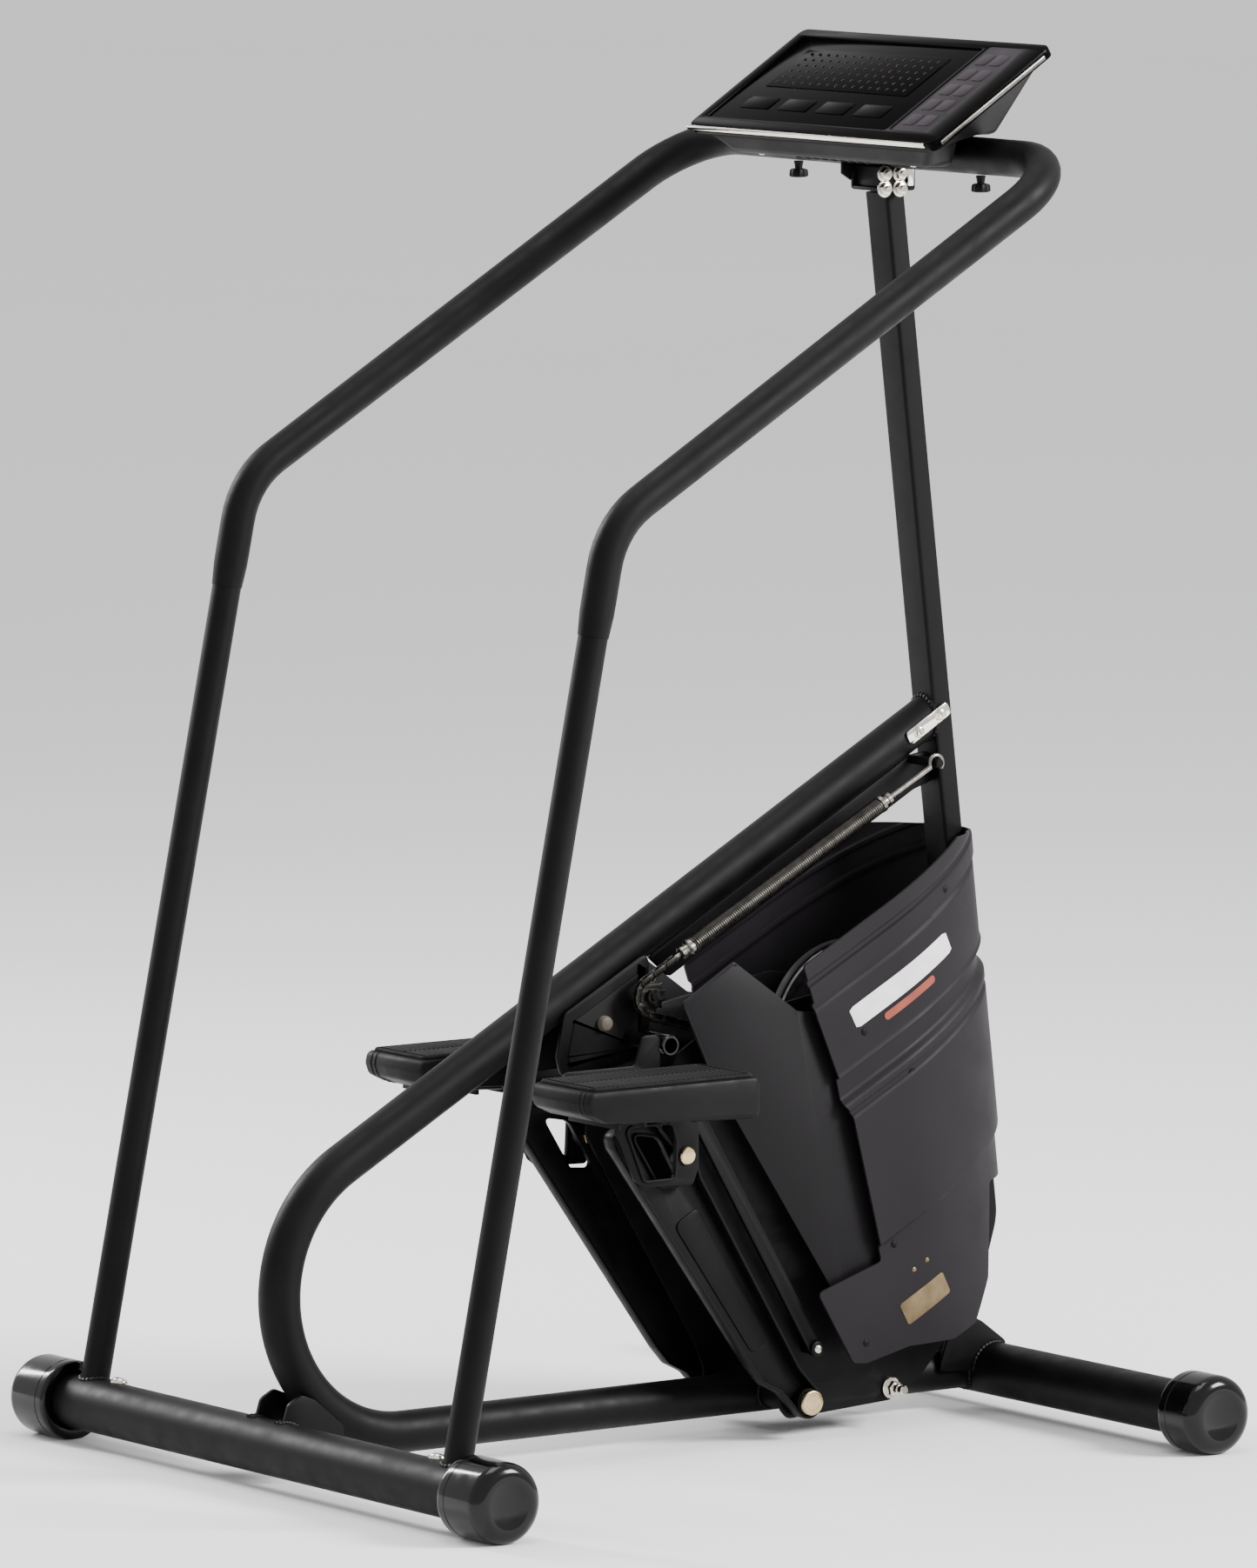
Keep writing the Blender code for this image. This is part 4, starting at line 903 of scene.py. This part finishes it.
def platform(side, sign):
    """A foot plate with soft corners, side beads and ribs under it."""
    low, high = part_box(f"pedal_platform_{side}")
    rear, front, base, top = low.y, high.y, low.z, high.z
    inner, outer = sorted((abs(low.x), abs(high.x)))
    outline = fillet([(rear + 0.004, base + 0.020), (rear, base + 0.032), (rear + 0.003, top), (front, top),
                      (front, base), (front - 0.06, base + 0.002), (rear + 0.025, base + 0.010)], 0.009, 6)
    with piece(f"pedal_platform_{side}_shell", PEDAL, f"pedal_{side}", f"pedal_platform_{side}") as mesh:
        add_slab(mesh, outline, span((inner, outer), sign), 0.0045)
        for shift in (0.012, 0.020):
            bead = (outer - shift - 0.0025, outer - shift)
            add_slab(mesh, offset(outline, 0.0006), span(bead, sign), 0.0008)
    with piece(f"pedal_platform_{side}_ribs", PEDAL, f"pedal_{side}") as mesh:
        for k in range(5):
            y = rear + 0.045 + 0.034 * k
            rib = [(y, base + 0.014), (y + 0.004, base + 0.014), (y + 0.004, base + 0.001), (y, base + 0.001)]
            add_slab(mesh, rib, span((inner + 0.008, outer - 0.010), sign), 0.0006)


def tread(side, sign):
    """A rubber mat with cross ribs inside a raised border."""
    low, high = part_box(f"pedal_tread_{side}")
    inner, outer = sorted((abs(low.x), abs(high.x)))
    centre, pitch, width = (inner + outer) / 2, 0.0062, 0.0034
    border = fillet([(a * sign, b) for a, b in rectangle(inner, low.y, outer, high.y)], 0.008)
    with piece(f"pedal_tread_{side}_mat", TREAD, f"pedal_{side}", f"pedal_tread_{side}") as mesh:
        add_slab(mesh, border, (low.z, low.z + 0.0016), 0.0004, upright)
        for k in range(int((high.y - low.y - 0.016) / pitch)):
            y = low.y + 0.009 + pitch * k
            for left, right in ((inner + 0.006, centre - 0.0015), (centre + 0.0015, outer - 0.006)):
                rib = rectangle(left * sign, y, right * sign, y + width)
                add_slab(mesh, rib, (low.z + 0.0010, high.z), 0.0008, upright)
        rim = [Vector((a, b, low.z + 0.0018)) for a, b in offset(border, -0.0022)]
        add_sweep(mesh, rim, circle(0.0014, 8), closed=True)


def stop_bracket():
    """Two cheeks beside the diagonal, the stop bar in rubber sleeves, the idlers' axle and two buffers."""
    outline = fillet([(-0.112, 0.418), (-0.040, 0.424), (0.002, 0.434), (0.006, 0.470), (0.003, 0.500),
                      (0.006, 0.550), (-0.108, 0.488), (-0.118, 0.440)], 0.010)
    reach = half_size("stop_bracket").x
    with piece("stop_bracket_cheeks", PRESSED, "frame", "stop_bracket") as mesh:
        for sign in SIDES.values():
            add_slab(mesh, outline, span(CHEEK_X, sign), 0.0011)
            add_slab(mesh, offset(outline, -0.014), span((0.0270, 0.0286), sign), 0.0010)
        add_hub(mesh, [(-reach, 0.0085), (reach, 0.0085)], STOP_BAR)
        add_hub(mesh, [(-0.058, 0.0034), (-0.0572, 0.004), (0.0572, 0.004), (0.058, 0.0034)], IDLER, sides=24)
    sleeve = [(0.060, 0.0090), (0.060, 0.0108), (0.0612, 0.0116), (reach - 0.0015, 0.0116), (reach, 0.0104),
              (reach, 0.0040)]
    with piece("stop_bar_bumpers", CAP) as mesh:
        for sign in SIDES.values():
            add_hub(mesh, sleeve, STOP_BAR, sign, 40)
    buffer = [(0.0280, 0.0078), (0.0290, 0.0086), (0.0330, 0.0086), (0.0362, 0.0070), (0.0372, 0.0040)]
    with piece("stop_bracket_buffers", BUFFER) as mesh:
        for sign in SIDES.values():
            add_hub(mesh, buffer, (-0.057, 0.474), sign, 36)


# ---------------------------------------------------------------- springs and drive

def return_spring(side, sign):
    """A close-wound spring between two turned couplers, hooked over the anchor pin."""
    shift = Vector((sign * CHAIN_X, 0, 0))
    start, pin = SPRING_REAR + shift, SPRING_PIN + shift
    way = (pin - start).normalized()
    across, up = axes_of(way)
    turns, steps, first, last, coil = 104, 16, 0.026, 0.318, 0.0081
    path = []
    for i in range(turns * steps + 1):
        turn = 2 * math.pi * i / steps
        along = first + (last - first) * i / (turns * steps)
        path.append(start + way * along + across * coil * math.cos(turn) + up * coil * math.sin(turn))
    with piece(f"return_spring_{side}_coil", SPRING, "frame", f"return_spring_{side}") as mesh:
        add_sweep(mesh, path, circle(0.00138, 6))
    coupler = [(-0.006, 0.0066), (-0.001, 0.0070), (0, 0.0096), (0.004, 0.0098), (0.0050, 0.0086),
               (0.006, 0.0062), (0.010, 0.0060), (0.011, 0.0072), (0.0155, 0.0072), (0.0165, 0.0050)]
    rod, rise, loop = (pin - start).length - 0.009, Vector((0, -way.z, way.y)), 0.0085
    angles = [math.radians(180 - 12 * k) for k in range(22)]
    with piece(f"return_spring_{side}_couplers", DULL_ZINC) as mesh:
        for place, outwards in ((first, -way), (last, way)):
            add_turned(mesh, coupler, start + way * place, outwards)
        for ends in ((0.002, first - 0.012), (last + 0.012, rod)):
            add_sweep(mesh, [start + way * end for end in ends], circle(0.0030, 16))
        hook = [pin + way * loop * math.cos(a) + rise * loop * math.sin(a) for a in angles]
        add_sweep(mesh, hook, circle(0.0024, 12))


def spring_anchor():
    """The web under the diagonal with the springs' pin, and the plated straps from diagonal to mast."""
    web = fillet([(0.022, 0.539), (0.378, 0.738), (0.404, 0.742), (0.4086, 0.708), (0.384, 0.700),
                  (0.050, 0.515)], 0.004)
    pin = [(-0.0578, 0.0042), (-0.0570, 0.005), (0.0570, 0.005), (0.0578, 0.0042)]
    with piece("spring_anchor_pin", PAINT, "frame", "spring_anchor") as mesh:
        add_slab(mesh, web, (-0.004, 0.004), 0.001)
        add_hub(mesh, pin, flat(SPRING_PIN))
    strap = fillet([(0.3640, 0.7520), (0.4200, 0.7850), (0.4130, 0.7990), (0.3570, 0.7660)], 0.006)
    with piece("mast_joint_bolts", CHROME) as mesh:
        for sign in SIDES.values():
            add_slab(mesh, strap, span((0.0226, 0.0256), sign), 0.0008)
            for spot in ((0.3740, 0.7672), (0.4040, 0.7850)):
                add_hex(mesh, Vector((sign * 0.0254, *spot)), (sign, 0, 0), 0.010, 0.004)


def chain_line():
    """The chain's middle line in (y, z): from the spring round the idler and over the sprocket."""
    way = (SPRING_PIN - SPRING_REAR).normalized()
    between = math.degrees(math.atan2(SPROCKET[1] - IDLER[1], SPROCKET[0] - IDLER[0]))
    low = between - math.degrees(math.acos((IDLER_PITCH - SPROCKET_PITCH) / math.dist(IDLER, SPROCKET)))
    top = math.degrees(math.atan2(way.y, -way.z))
    idler = arc(IDLER, IDLER_PITCH, top, 360 + low, 30)
    return [flat(SPRING_REAR), *idler, *arc(SPROCKET, SPROCKET_PITCH, low, 118, 50)]


def chain(side, sign):
    """Roller chain: plates in inner and outer pairs on rollers one pitch apart."""
    points = [Vector((sign * CHAIN_X, y, z)) for y, z in chain_line()]
    total = lengths_along(points)[-1]
    spots = resample(points, total / int(total / CHAIN_STEP))
    with piece(f"drive_chain_{side}_links", STEEL, "frame", f"drive_chain_{side}") as mesh:
        for k, (a, b) in enumerate(zip(spots, spots[1:])):
            inner = 0.0018 if k % 2 else 0.0029
            outline = plate_outline(flat(a), flat(b), 0.0036)
            for x in ((inner, inner + 0.0010), (-inner - 0.0010, -inner)):
                add_slab(mesh, outline, (a.x + x[0], a.x + x[1]), 0.0002)
            add_turned(mesh, [(-0.0044, 0.0012), (-0.0044, 0.0012), (0.0044, 0.0012)], a, sides=8)
            add_turned(mesh, [(-0.0017, 0.0025), (0.0017, 0.0025)], a, sides=12)


def plate_outline(a, b, radius):
    """A stadium with a slight waist round two pins."""
    angle = math.degrees(math.atan2(b[1] - a[1], b[0] - a[0]))
    return arc(b, radius, angle - 80, angle + 80, 6) + arc(a, radius, angle + 100, angle + 260, 6)


def toothed(centre, teeth, root, tip):
    outline = []
    for k in range(teeth):
        for share, radius in ((0.0, root), (0.22, root), (0.42, tip), (0.58, tip), (0.78, root)):
            turn = 2 * math.pi * (k + share) / teeth
            outline.append((centre[0] + radius * math.cos(turn), centre[1] + radius * math.sin(turn)))
    return outline


def hole_circle(centre, reach, count, start, radius):
    """Round holes at even steps on a circle; start in degrees."""
    angles = [math.radians(360 / count * k + start) for k in range(count)]
    return [bore((centre[0] + reach * math.cos(a), centre[1] + reach * math.sin(a)), radius) for a in angles]


def wheels(side, sign):
    x = sign * CHAIN_X
    disc = (x - 0.0012, x + 0.0012)
    holes = [bore(SPROCKET, SHAFT_BORE), *hole_circle(SPROCKET, 0.0235, 6, 30, 0.0045)]
    hub = [(-0.006, SHAFT_BORE), (-0.006, 0.0155), (-0.0055, 0.016), (0.0055, 0.016), (0.006, 0.0155),
           (0.006, SHAFT_BORE)]
    with piece(f"clutch_sprocket_{side}_gear", STEEL, f"clutch_{side}", f"clutch_sprocket_{side}") as mesh:
        add_slab(mesh, toothed(SPROCKET, 23, 0.0322, 0.0362), disc, 0.0004, holes=holes)
        add_ring(mesh, hub, SPROCKET, sides=40, x=x)
    hub = [(-0.006, IDLER_BORE), (-0.006, 0.0080), (0.006, 0.0080), (0.006, IDLER_BORE)]
    with piece(f"chain_idler_{side}_gear", STEEL, f"idler_{side}", f"chain_idler_{side}") as mesh:
        add_slab(mesh, toothed(IDLER, 12, 0.0158, 0.0192), disc, 0.0004, holes=[bore(IDLER, IDLER_BORE)])
        add_ring(mesh, hub, IDLER, sides=32, x=x)


def grooves(rise, fall):
    """Six belt grooves across a pulley's rim."""
    edges = ((0.0240, rise), (0.0251, fall))
    return [(start + 0.0022 * k, radius) for k in range(6) for start, radius in edges]


def shaft_and_pulleys():
    reach = half_size("drive_shaft").x
    collar = [(reach - 0.0028, 0.0078), (reach - 0.0028, 0.0105), (reach - 0.0018, 0.0105),
              (reach - 0.0018, 0.0078)]
    rod = [(-reach, 0.0070), (-reach + 0.001, 0.008), (reach - 0.001, 0.008), (reach, 0.0070)]
    with piece("drive_shaft_rod", STEEL, "drive_shaft", "drive_shaft") as mesh:
        add_hub(mesh, rod, SPROCKET)
        for sign in SIDES.values():
            add_ring(mesh, collar, SPROCKET, sign, 40)
    rim = [(0.022, 0.090), (0.022, 0.0990), (0.0228, 0.100), *grooves(0.0996, 0.0982), (0.0372, 0.100),
           (0.038, 0.0990), (0.038, 0.090)]
    hub = [(0.016, SHAFT_BORE), (0.016, 0.019), (0.017, 0.020), (0.041, 0.020), (0.042, 0.019),
           (0.042, SHAFT_BORE)]
    holes = [bore(SPROCKET, SHAFT_BORE), *hole_circle(SPROCKET, 0.056, 5, 18, 0.018)]
    with piece("drive_pulley_wheel", ALLOY, "drive_shaft", "drive_pulley") as mesh:
        add_ring(mesh, rim, SPROCKET, sides=96)
        add_slab(mesh, bore(SPROCKET, 0.0915, 96), (0.027, 0.033), 0.001, holes=holes)
        add_ring(mesh, hub, SPROCKET)
    rotor = [(-0.009, 0.0052), (-0.008, 0.006), (0.0225, 0.006), (0.0225, 0.0214), (0.0231, 0.0220),
             *grooves(0.0218, 0.0206), (0.0369, 0.0220), (0.0375, 0.0214), (0.0375, 0.0090), (0.0405, 0.0085),
             (0.0405, 0.003)]
    with piece("alternator_pulley_wheel", STEEL, "alternator_rotor", "alternator_pulley") as mesh:
        add_hub(mesh, rotor, ALTERNATOR, sides=48)


def belt_loop(extra):
    """The belt's line round both pulleys, extra metres outside their rims."""
    between = math.degrees(math.atan2(SPROCKET[1] - ALTERNATOR[1], SPROCKET[0] - ALTERNATOR[0]))
    swing = math.degrees(math.acos((ROTOR_BELT - PULLEY_BELT) / math.dist(SPROCKET, ALTERNATOR)))
    right, left = between - swing, between + swing
    return (arc(SPROCKET, PULLEY_BELT + extra, right, left, 72)
            + arc(ALTERNATOR, ROTOR_BELT + extra, left, right + 360, 32))


def drive_belt():
    with piece("drive_belt_band", BELT, "frame", "drive_belt") as mesh:
        add_slab(mesh, belt_loop(BELT_THICK), (0.024, 0.036), 0.0004, holes=[belt_loop(0)])


def alternator():
    rear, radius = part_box("alternator")[0].x, 0.052
    fins = []
    for k in range(7):
        x = rear + 0.012 + 0.0072 * k
        fins += [(x, radius), (x + 0.0006, 0.0495), (x + 0.0030, 0.0495), (x + 0.0036, radius)]
    profile = [(rear, 0.020), (rear, 0.046), (rear + 0.003, 0.050), (rear + 0.007, radius), *fins,
               (0.007, radius), (0.012, 0.049), (0.014, 0.040), (0.0145, 0.022), (0.016, 0.018),
               (0.016, 0.0066), (0.0, 0.0066), (0.0, 0.002)]
    with piece("alternator_body", ALLOY, "frame", "alternator") as mesh:
        add_hub(mesh, profile, ALTERNATOR, sides=72)
        for k in range(4):
            turn = math.radians(45 + 90 * k)
            spot = (0.0135, ALTERNATOR[0] + 0.040 * math.cos(turn), ALTERNATOR[1] + 0.040 * math.sin(turn))
            add_hex(mesh, Vector(spot), (1, 0, 0), 0.007, 0.003)


def side_plate(side, sign):
    """The sheet that holds the drive shaft, with the levelling link's stud and the shaft's bearing flange."""
    outline = fillet([(0.149, 0.034), (0.160, 0.022), (0.300, 0.030), (0.345, 0.055), (0.385, 0.100),
                      (0.395, 0.300), (0.380, 0.480), (0.240, 0.500), (0.060, 0.470), (0.010, 0.440),
                      (-0.012, 0.400), (-0.010, 0.335), (0.060, 0.2155), (0.140, 0.0855),
                      (0.150, 0.060)], 0.012)
    places = [(ARM_PIVOT, 0.0148), (SPROCKET, SHAFT_BORE), (CROSS_BOLT, BOLT_BORE), ((0.300, 0.300), 0.030),
              ((0.255, 0.240), 0.018)]
    stud = [(0.0738, 0.0075), (0.0872, 0.0075), (0.0877, 0.0068), (0.0877, 0.005), (0.0943, 0.005),
            (0.0943, 0.0080), (0.0950, 0.0085), (0.0970, 0.0085), (0.0978, 0.0070)]
    with piece(f"side_plate_{side}_sheet", PRESSED, "frame", f"side_plate_{side}") as mesh:
        holes = [bore(centre, radius, 40) for centre, radius in places]
        add_slab(mesh, outline, span(PLATE_X, sign), 0.0009, holes=holes)
        add_hub(mesh, stud, LINK_PIVOT, sign)
    with piece(f"link_stud_{side}_cap", ZINC) as mesh:
        add_dome(mesh, Vector((sign * 0.0976, *LINK_PIVOT)), (sign, 0, 0), 0.0050, 0.0026)
    flange = [(0.0742, 0.0085), (0.0742, 0.0150), (0.0752, 0.0160), (0.0765, 0.0160), (0.0775, 0.0150),
              (0.0775, 0.0085)]
    with piece(f"drive_bearing_{side}_flange", ZINC) as mesh:
        add_ring(mesh, flange, SPROCKET, sign, 40)


# ---------------------------------------------------------------- guards and covers

def inner_guard(side, sign):
    """The fin outside the arm, with a rolled edge and its two stand-offs."""
    outline = fillet([(-0.006, 0.500), (0.064, 0.541), (0.150, 0.480), (0.330, 0.450), (0.330, 0.130),
                      (0.250, 0.098), (0.226, 0.105), (0.208, 0.151), (0.185, 0.187), (0.038, 0.410)], 0.006)
    corners = [(0.185, 0.187), (0.038, 0.410), (-0.004, 0.4985), (0.064, 0.5385), (0.150, 0.480)]
    with piece(f"inner_guard_{side}_fin", FIN, "frame", f"inner_guard_{side}") as mesh:
        add_slab(mesh, outline, span(FIN_X, sign), 0.0008)
        edge = [Vector((sign * 0.1036, y, z)) for y, z in fillet(corners, 0.006)[6:24]]
        add_sweep(mesh, edge, circle(0.0016, 10))
        for centre in ((0.225, 0.400), (0.275, 0.170)):
            add_hub(mesh, [(0.0743, 0.006), (0.1020, 0.006)], centre, sign, 28)


def below_top(y, z):
    """How far a point lies under the cover's sloping top edge."""
    return (y - TOP_EDGE[0]) * math.sin(SLOPE) - (z - TOP_EDGE[1]) * math.cos(SLOPE)


def nose_point(share):
    """(x, y) on the cover seen from above at the nose's reference level; share runs from rear to tip."""
    straight, rear = 0.30, 0.10
    if share < straight:
        return (COVER_HALF, rear + (NOSE_CENTRE - rear) * share / straight)
    turn = math.pi / 2 * (share - straight) / (1 - straight)
    return (max(COVER_HALF * math.cos(turn), 0.0003), NOSE_CENTRE + NOSE_LENGTH * math.sin(turn))


def smooth_step(value, start, width):
    t = min(max((value - start) / width, 0), 1)
    return t * t * (3 - 2 * t)


def relief(depth):
    """How far the cover's skin stands in from its outermost surface, by depth under the top edge."""
    def band(height, first, rise, last, fall):
        return height * (smooth_step(depth, first, rise) - smooth_step(depth, last, fall))

    lip = band(0.0030, 0.017, 0.0022, 0.0235, 0.0035)
    groove = band(0.0045, 0.044, 0.0022, 0.050, 0.006)
    badge = band(0.0018, 0.052, 0.004, 0.133, 0.004)
    waist = band(0.0075, 0.136, 0.003, 0.160, 0.010)
    rib = band(0.0030, 0.176, 0.0022, 0.182, 0.004)
    skirt = 0.0052 * smooth_step(depth, 0.330, 0.004)
    return 0.0012 + lip + groove + badge + waist + rib + skirt


def cover_rows():
    """Depths of the mesh's rows, close together where the relief changes."""
    runs = ((-0.14, 0.01, 0, 15), (0, 0.0022, 1, 100), (0.220, 0.006, 1, 18), (0.326, 0.0022, 0, 7),
            (0.345, 0.010, 1, 22))
    return [start + step * k for start, step, first, last in runs for k in range(first, last)]


def cover_surface(mesh, sign, inset):
    """Rows of vertices over the cover's side and nose, moved in by inset and by the relief."""
    scale = math.cos(SLOPE) + math.sin(SLOPE) * MAST_LEAN
    rows = []
    for depth in cover_rows():
        row = []
        for share in [i / 46 for i in range(47)]:
            x, level_y = nose_point(share)
            rest = (level_y + MAST_LEAN * NOSE_LEVEL - TOP_EDGE[0]) * math.sin(SLOPE)
            z = (TOP_EDGE[1] * math.cos(SLOPE) + rest - depth) / scale
            y = level_y - MAST_LEAN * (z - NOSE_LEVEL)
            ahead = max(level_y - NOSE_CENTRE, 0)
            normal = Vector((x / COVER_HALF ** 2, ahead / NOSE_LENGTH ** 2)).normalized()
            push = inset + relief(depth)
            row.append(mesh.verts.new((sign * max(x - normal.x * push, 0.0003), y - normal.y * push, z)))
        rows.append(row)
    return rows


def cover_outline():
    return [(0.148, 0.531), (0.380, 0.655), (0.56, 0.655), (0.56, 0.271), (0.434, 0.265), (0.424, 0.159),
            (0.398, 0.112), (0.362, 0.098), (0.298, 0.096), (0.238, 0.082), (0.221, 0.084), (0.172, 0.166),
            (0.259, 0.194), (0.216, 0.361), (0.205, 0.372), (0.198, 0.402), (0.168, 0.472), (0.164, 0.484)]


def join_sheets(mesh, first, second):
    """The four edges between two sheets of rows, which close them into a solid."""
    for k in (0, -1):
        skin(mesh, [first[k], second[k]], closed_ring=False)
        skin(mesh, [[row[k] for row in first], [row[k] for row in second]], closed_ring=False)


def side_cover(side, sign):
    """One half of the moulded cover, its bands parallel to the sloping top edge, trimmed to its outline."""
    name = f"side_cover_{side}_shell"
    with piece(name, SHELL, "frame", f"side_cover_{side}", sharp=40) as mesh:
        sheets = [cover_surface(mesh, sign, inset) for inset in (0.0, COVER_WALL)]
        for sheet in sheets:
            skin(mesh, sheet, closed_ring=False)
        join_sheets(mesh, *sheets)
    made = bpy.data.objects[name]
    tool = bmesh.new()
    add_slab(tool, fillet(cover_outline(), 0.006), span((-0.01, 0.2), sign), 0.0001)
    bmesh.ops.recalc_face_normals(tool, faces=tool.faces)
    cutter = add_object("cover_cutter", tool)
    trim = made.modifiers.new("trim", "BOOLEAN")
    trim.operation = "INTERSECT"
    trim.object = cutter
    graph = bpy.context.evaluated_depsgraph_get()
    data = bpy.data.meshes.new_from_object(made.evaluated_get(graph))
    made.modifiers.clear()
    made.data = data
    bpy.data.objects.remove(cutter)
    data.shade_smooth()
    data.set_sharp_from_angle(angle=math.radians(34))
    cover_fixings(side, sign)


def on_cover(depth, along):
    """(y, z) on the cover's flat side, depth under the top edge and along it from its rear corner."""
    y = TOP_EDGE[0] + along * math.cos(SLOPE) + depth * math.sin(SLOPE)
    z = TOP_EDGE[1] + along * math.sin(SLOPE) - depth * math.cos(SLOPE)
    return (y, z)


def cover_x(y, z):
    """X of the cover's skin, from its plan curve, relief and lean."""
    level_y = y + MAST_LEAN * (z - NOSE_LEVEL)
    reach = min(max((level_y - NOSE_CENTRE) / NOSE_LENGTH, 0), 0.999)
    return COVER_HALF * math.sqrt(1 - reach ** 2) - relief(below_top(y, z))


def add_decal(mesh, corners, sign, thick=0.0007, columns=28, rows=4, pinch=0.0022):
    """A thin raised strip that follows the cover's skin, between two (depth, along) corners."""
    (d0, a0), (d1, a1) = corners
    sheets = []
    for lift in (-0.0006, thick):
        sheet = []
        for i in range(columns + 1):
            line = []
            for j in range(rows + 1):
                inward = (pinch if j == 0 else -pinch) if i in (0, columns) and j in (0, rows) else 0
                y, z = on_cover(d0 + (d1 - d0) * j / rows + inward, a0 + (a1 - a0) * i / columns)
                line.append(mesh.verts.new((sign * (cover_x(y, z) + lift), y, z)))
            sheet.append(line)
        skin(mesh, sheet, closed_ring=False)
        sheets.append(sheet)
    join_sheets(mesh, *sheets)


def cover_fixings(side, sign):
    """Plain badge bars, a blank foil plate, its rivets, screws and the stand-offs behind the shell."""
    decals = (("badge_bar", BADGE_WHITE, ((0.076, 0.030), (0.101, 0.190)), 0.0007),
              ("accent_bar", BADGE_RED, ((0.106, 0.068), (0.115, 0.150)), 0.0007),
              ("foil_plate", FOIL, ((0.406, -0.063), (0.433, 0.005)), 0.0005))
    for name, look, corners, thick in decals:
        with piece(f"side_cover_{side}_{name}", look) as mesh:
            add_decal(mesh, corners, sign, thick)
    # The cover screws take the darker shell copy: painted shade on their heads.
    heads = (("label_rivets", FOIL, ((0.304, 0.181), (0.322, 0.190)), (0.0030, 0.0014)),
             ("screws", SHADED_SHELL, ((0.238, 0.105), (0.232, 0.452), (0.352, 0.600), (0.276, 0.212)),
              (0.0046, 0.0020)))
    for name, look, spots, size in heads:
        with piece(f"side_cover_{side}_{name}", look) as mesh:
            for spot in spots:
                add_dome(mesh, Vector((sign * (cover_x(*spot) - 0.0004), *spot)), (sign, 0, 0), *size)
    with piece(f"side_cover_{side}_stand_offs", PEDAL) as mesh:
        for centre in ((0.300, 0.400), (0.290, 0.150)):
            add_hub(mesh, [(0.1046, 0.006), (cover_x(*centre) - 0.0015, 0.006)], centre, sign, 28)


# ---------------------------------------------------------------- stage

def stage(reach=90):
    mesh = bmesh.new()
    mesh.faces.new([mesh.verts.new((x, y, -0.0004)) for x, y in rectangle(-reach, -reach, reach, reach)])
    floor = add_object("studio_floor", mesh)
    floor.data.materials.append(FLOOR)


def area_light(name, place, target, size, power):
    data = bpy.data.lights.new(name, "AREA")
    data.shape = "RECTANGLE"
    data.size, data.size_y = size
    data.energy = power
    lamp = bpy.data.objects.new(name, data)
    lamp.location = place
    lamp.rotation_euler = (Vector(target) - Vector(place)).to_track_quat("-Z", "Y").to_euler()
    bpy.context.scene.collection.objects.link(lamp)


def lights():
    """A pale room, a soft key from the front right, a fill from above and a strip for each rear cap."""
    world = bpy.data.worlds.new("studio_world")
    world.use_nodes = True
    background = world.node_tree.nodes["Background"]
    background.inputs["Color"].default_value = (1, 0.995, 1, 1)
    background.inputs["Strength"].default_value = 1.05
    bpy.context.scene.world = world
    target = (0, 0, 0.6)
    area_light("key", (4.2, 3.4, 3.6), target, (2.0, 2.0), 760)
    area_light("top", (0.2, -0.3, 4.2), target, (2.0, 2.0), 70)
    for x in (0.408, -0.405):
        area_light("cap_strip", (x - 4.05, -1.25, 2.60), (x, -BAR_Y, 0.05), (0.08, 2.4), 105)


def camera():
    data = bpy.data.cameras.new("camera")
    data.lens, data.sensor_width = 277.7, 36
    data.clip_end = 300
    made = bpy.data.objects.new("camera", data)
    made.location = (10.700, -7.641, 2.196)
    made.rotation_euler = (math.radians(90 - 6.36), 0, math.radians(54.48))
    bpy.context.scene.collection.objects.link(made)
    bpy.context.scene.camera = made


def main():
    for step in (camera, lights, stage, crossbars, end_caps, loop_tube, mast, gussets, handrail,
                 console_housing, console_board, console_face, console_knobs, rail_clamp, pivot, stop_bracket,
                 spring_anchor, shaft_and_pulleys, drive_belt, alternator):
        step()
    for side, sign in SIDES.items():
        for step in (arm, link, carrier, platform, tread, return_spring, chain, wheels, side_plate,
                     inner_guard, side_cover):
            step(side, sign)


main()
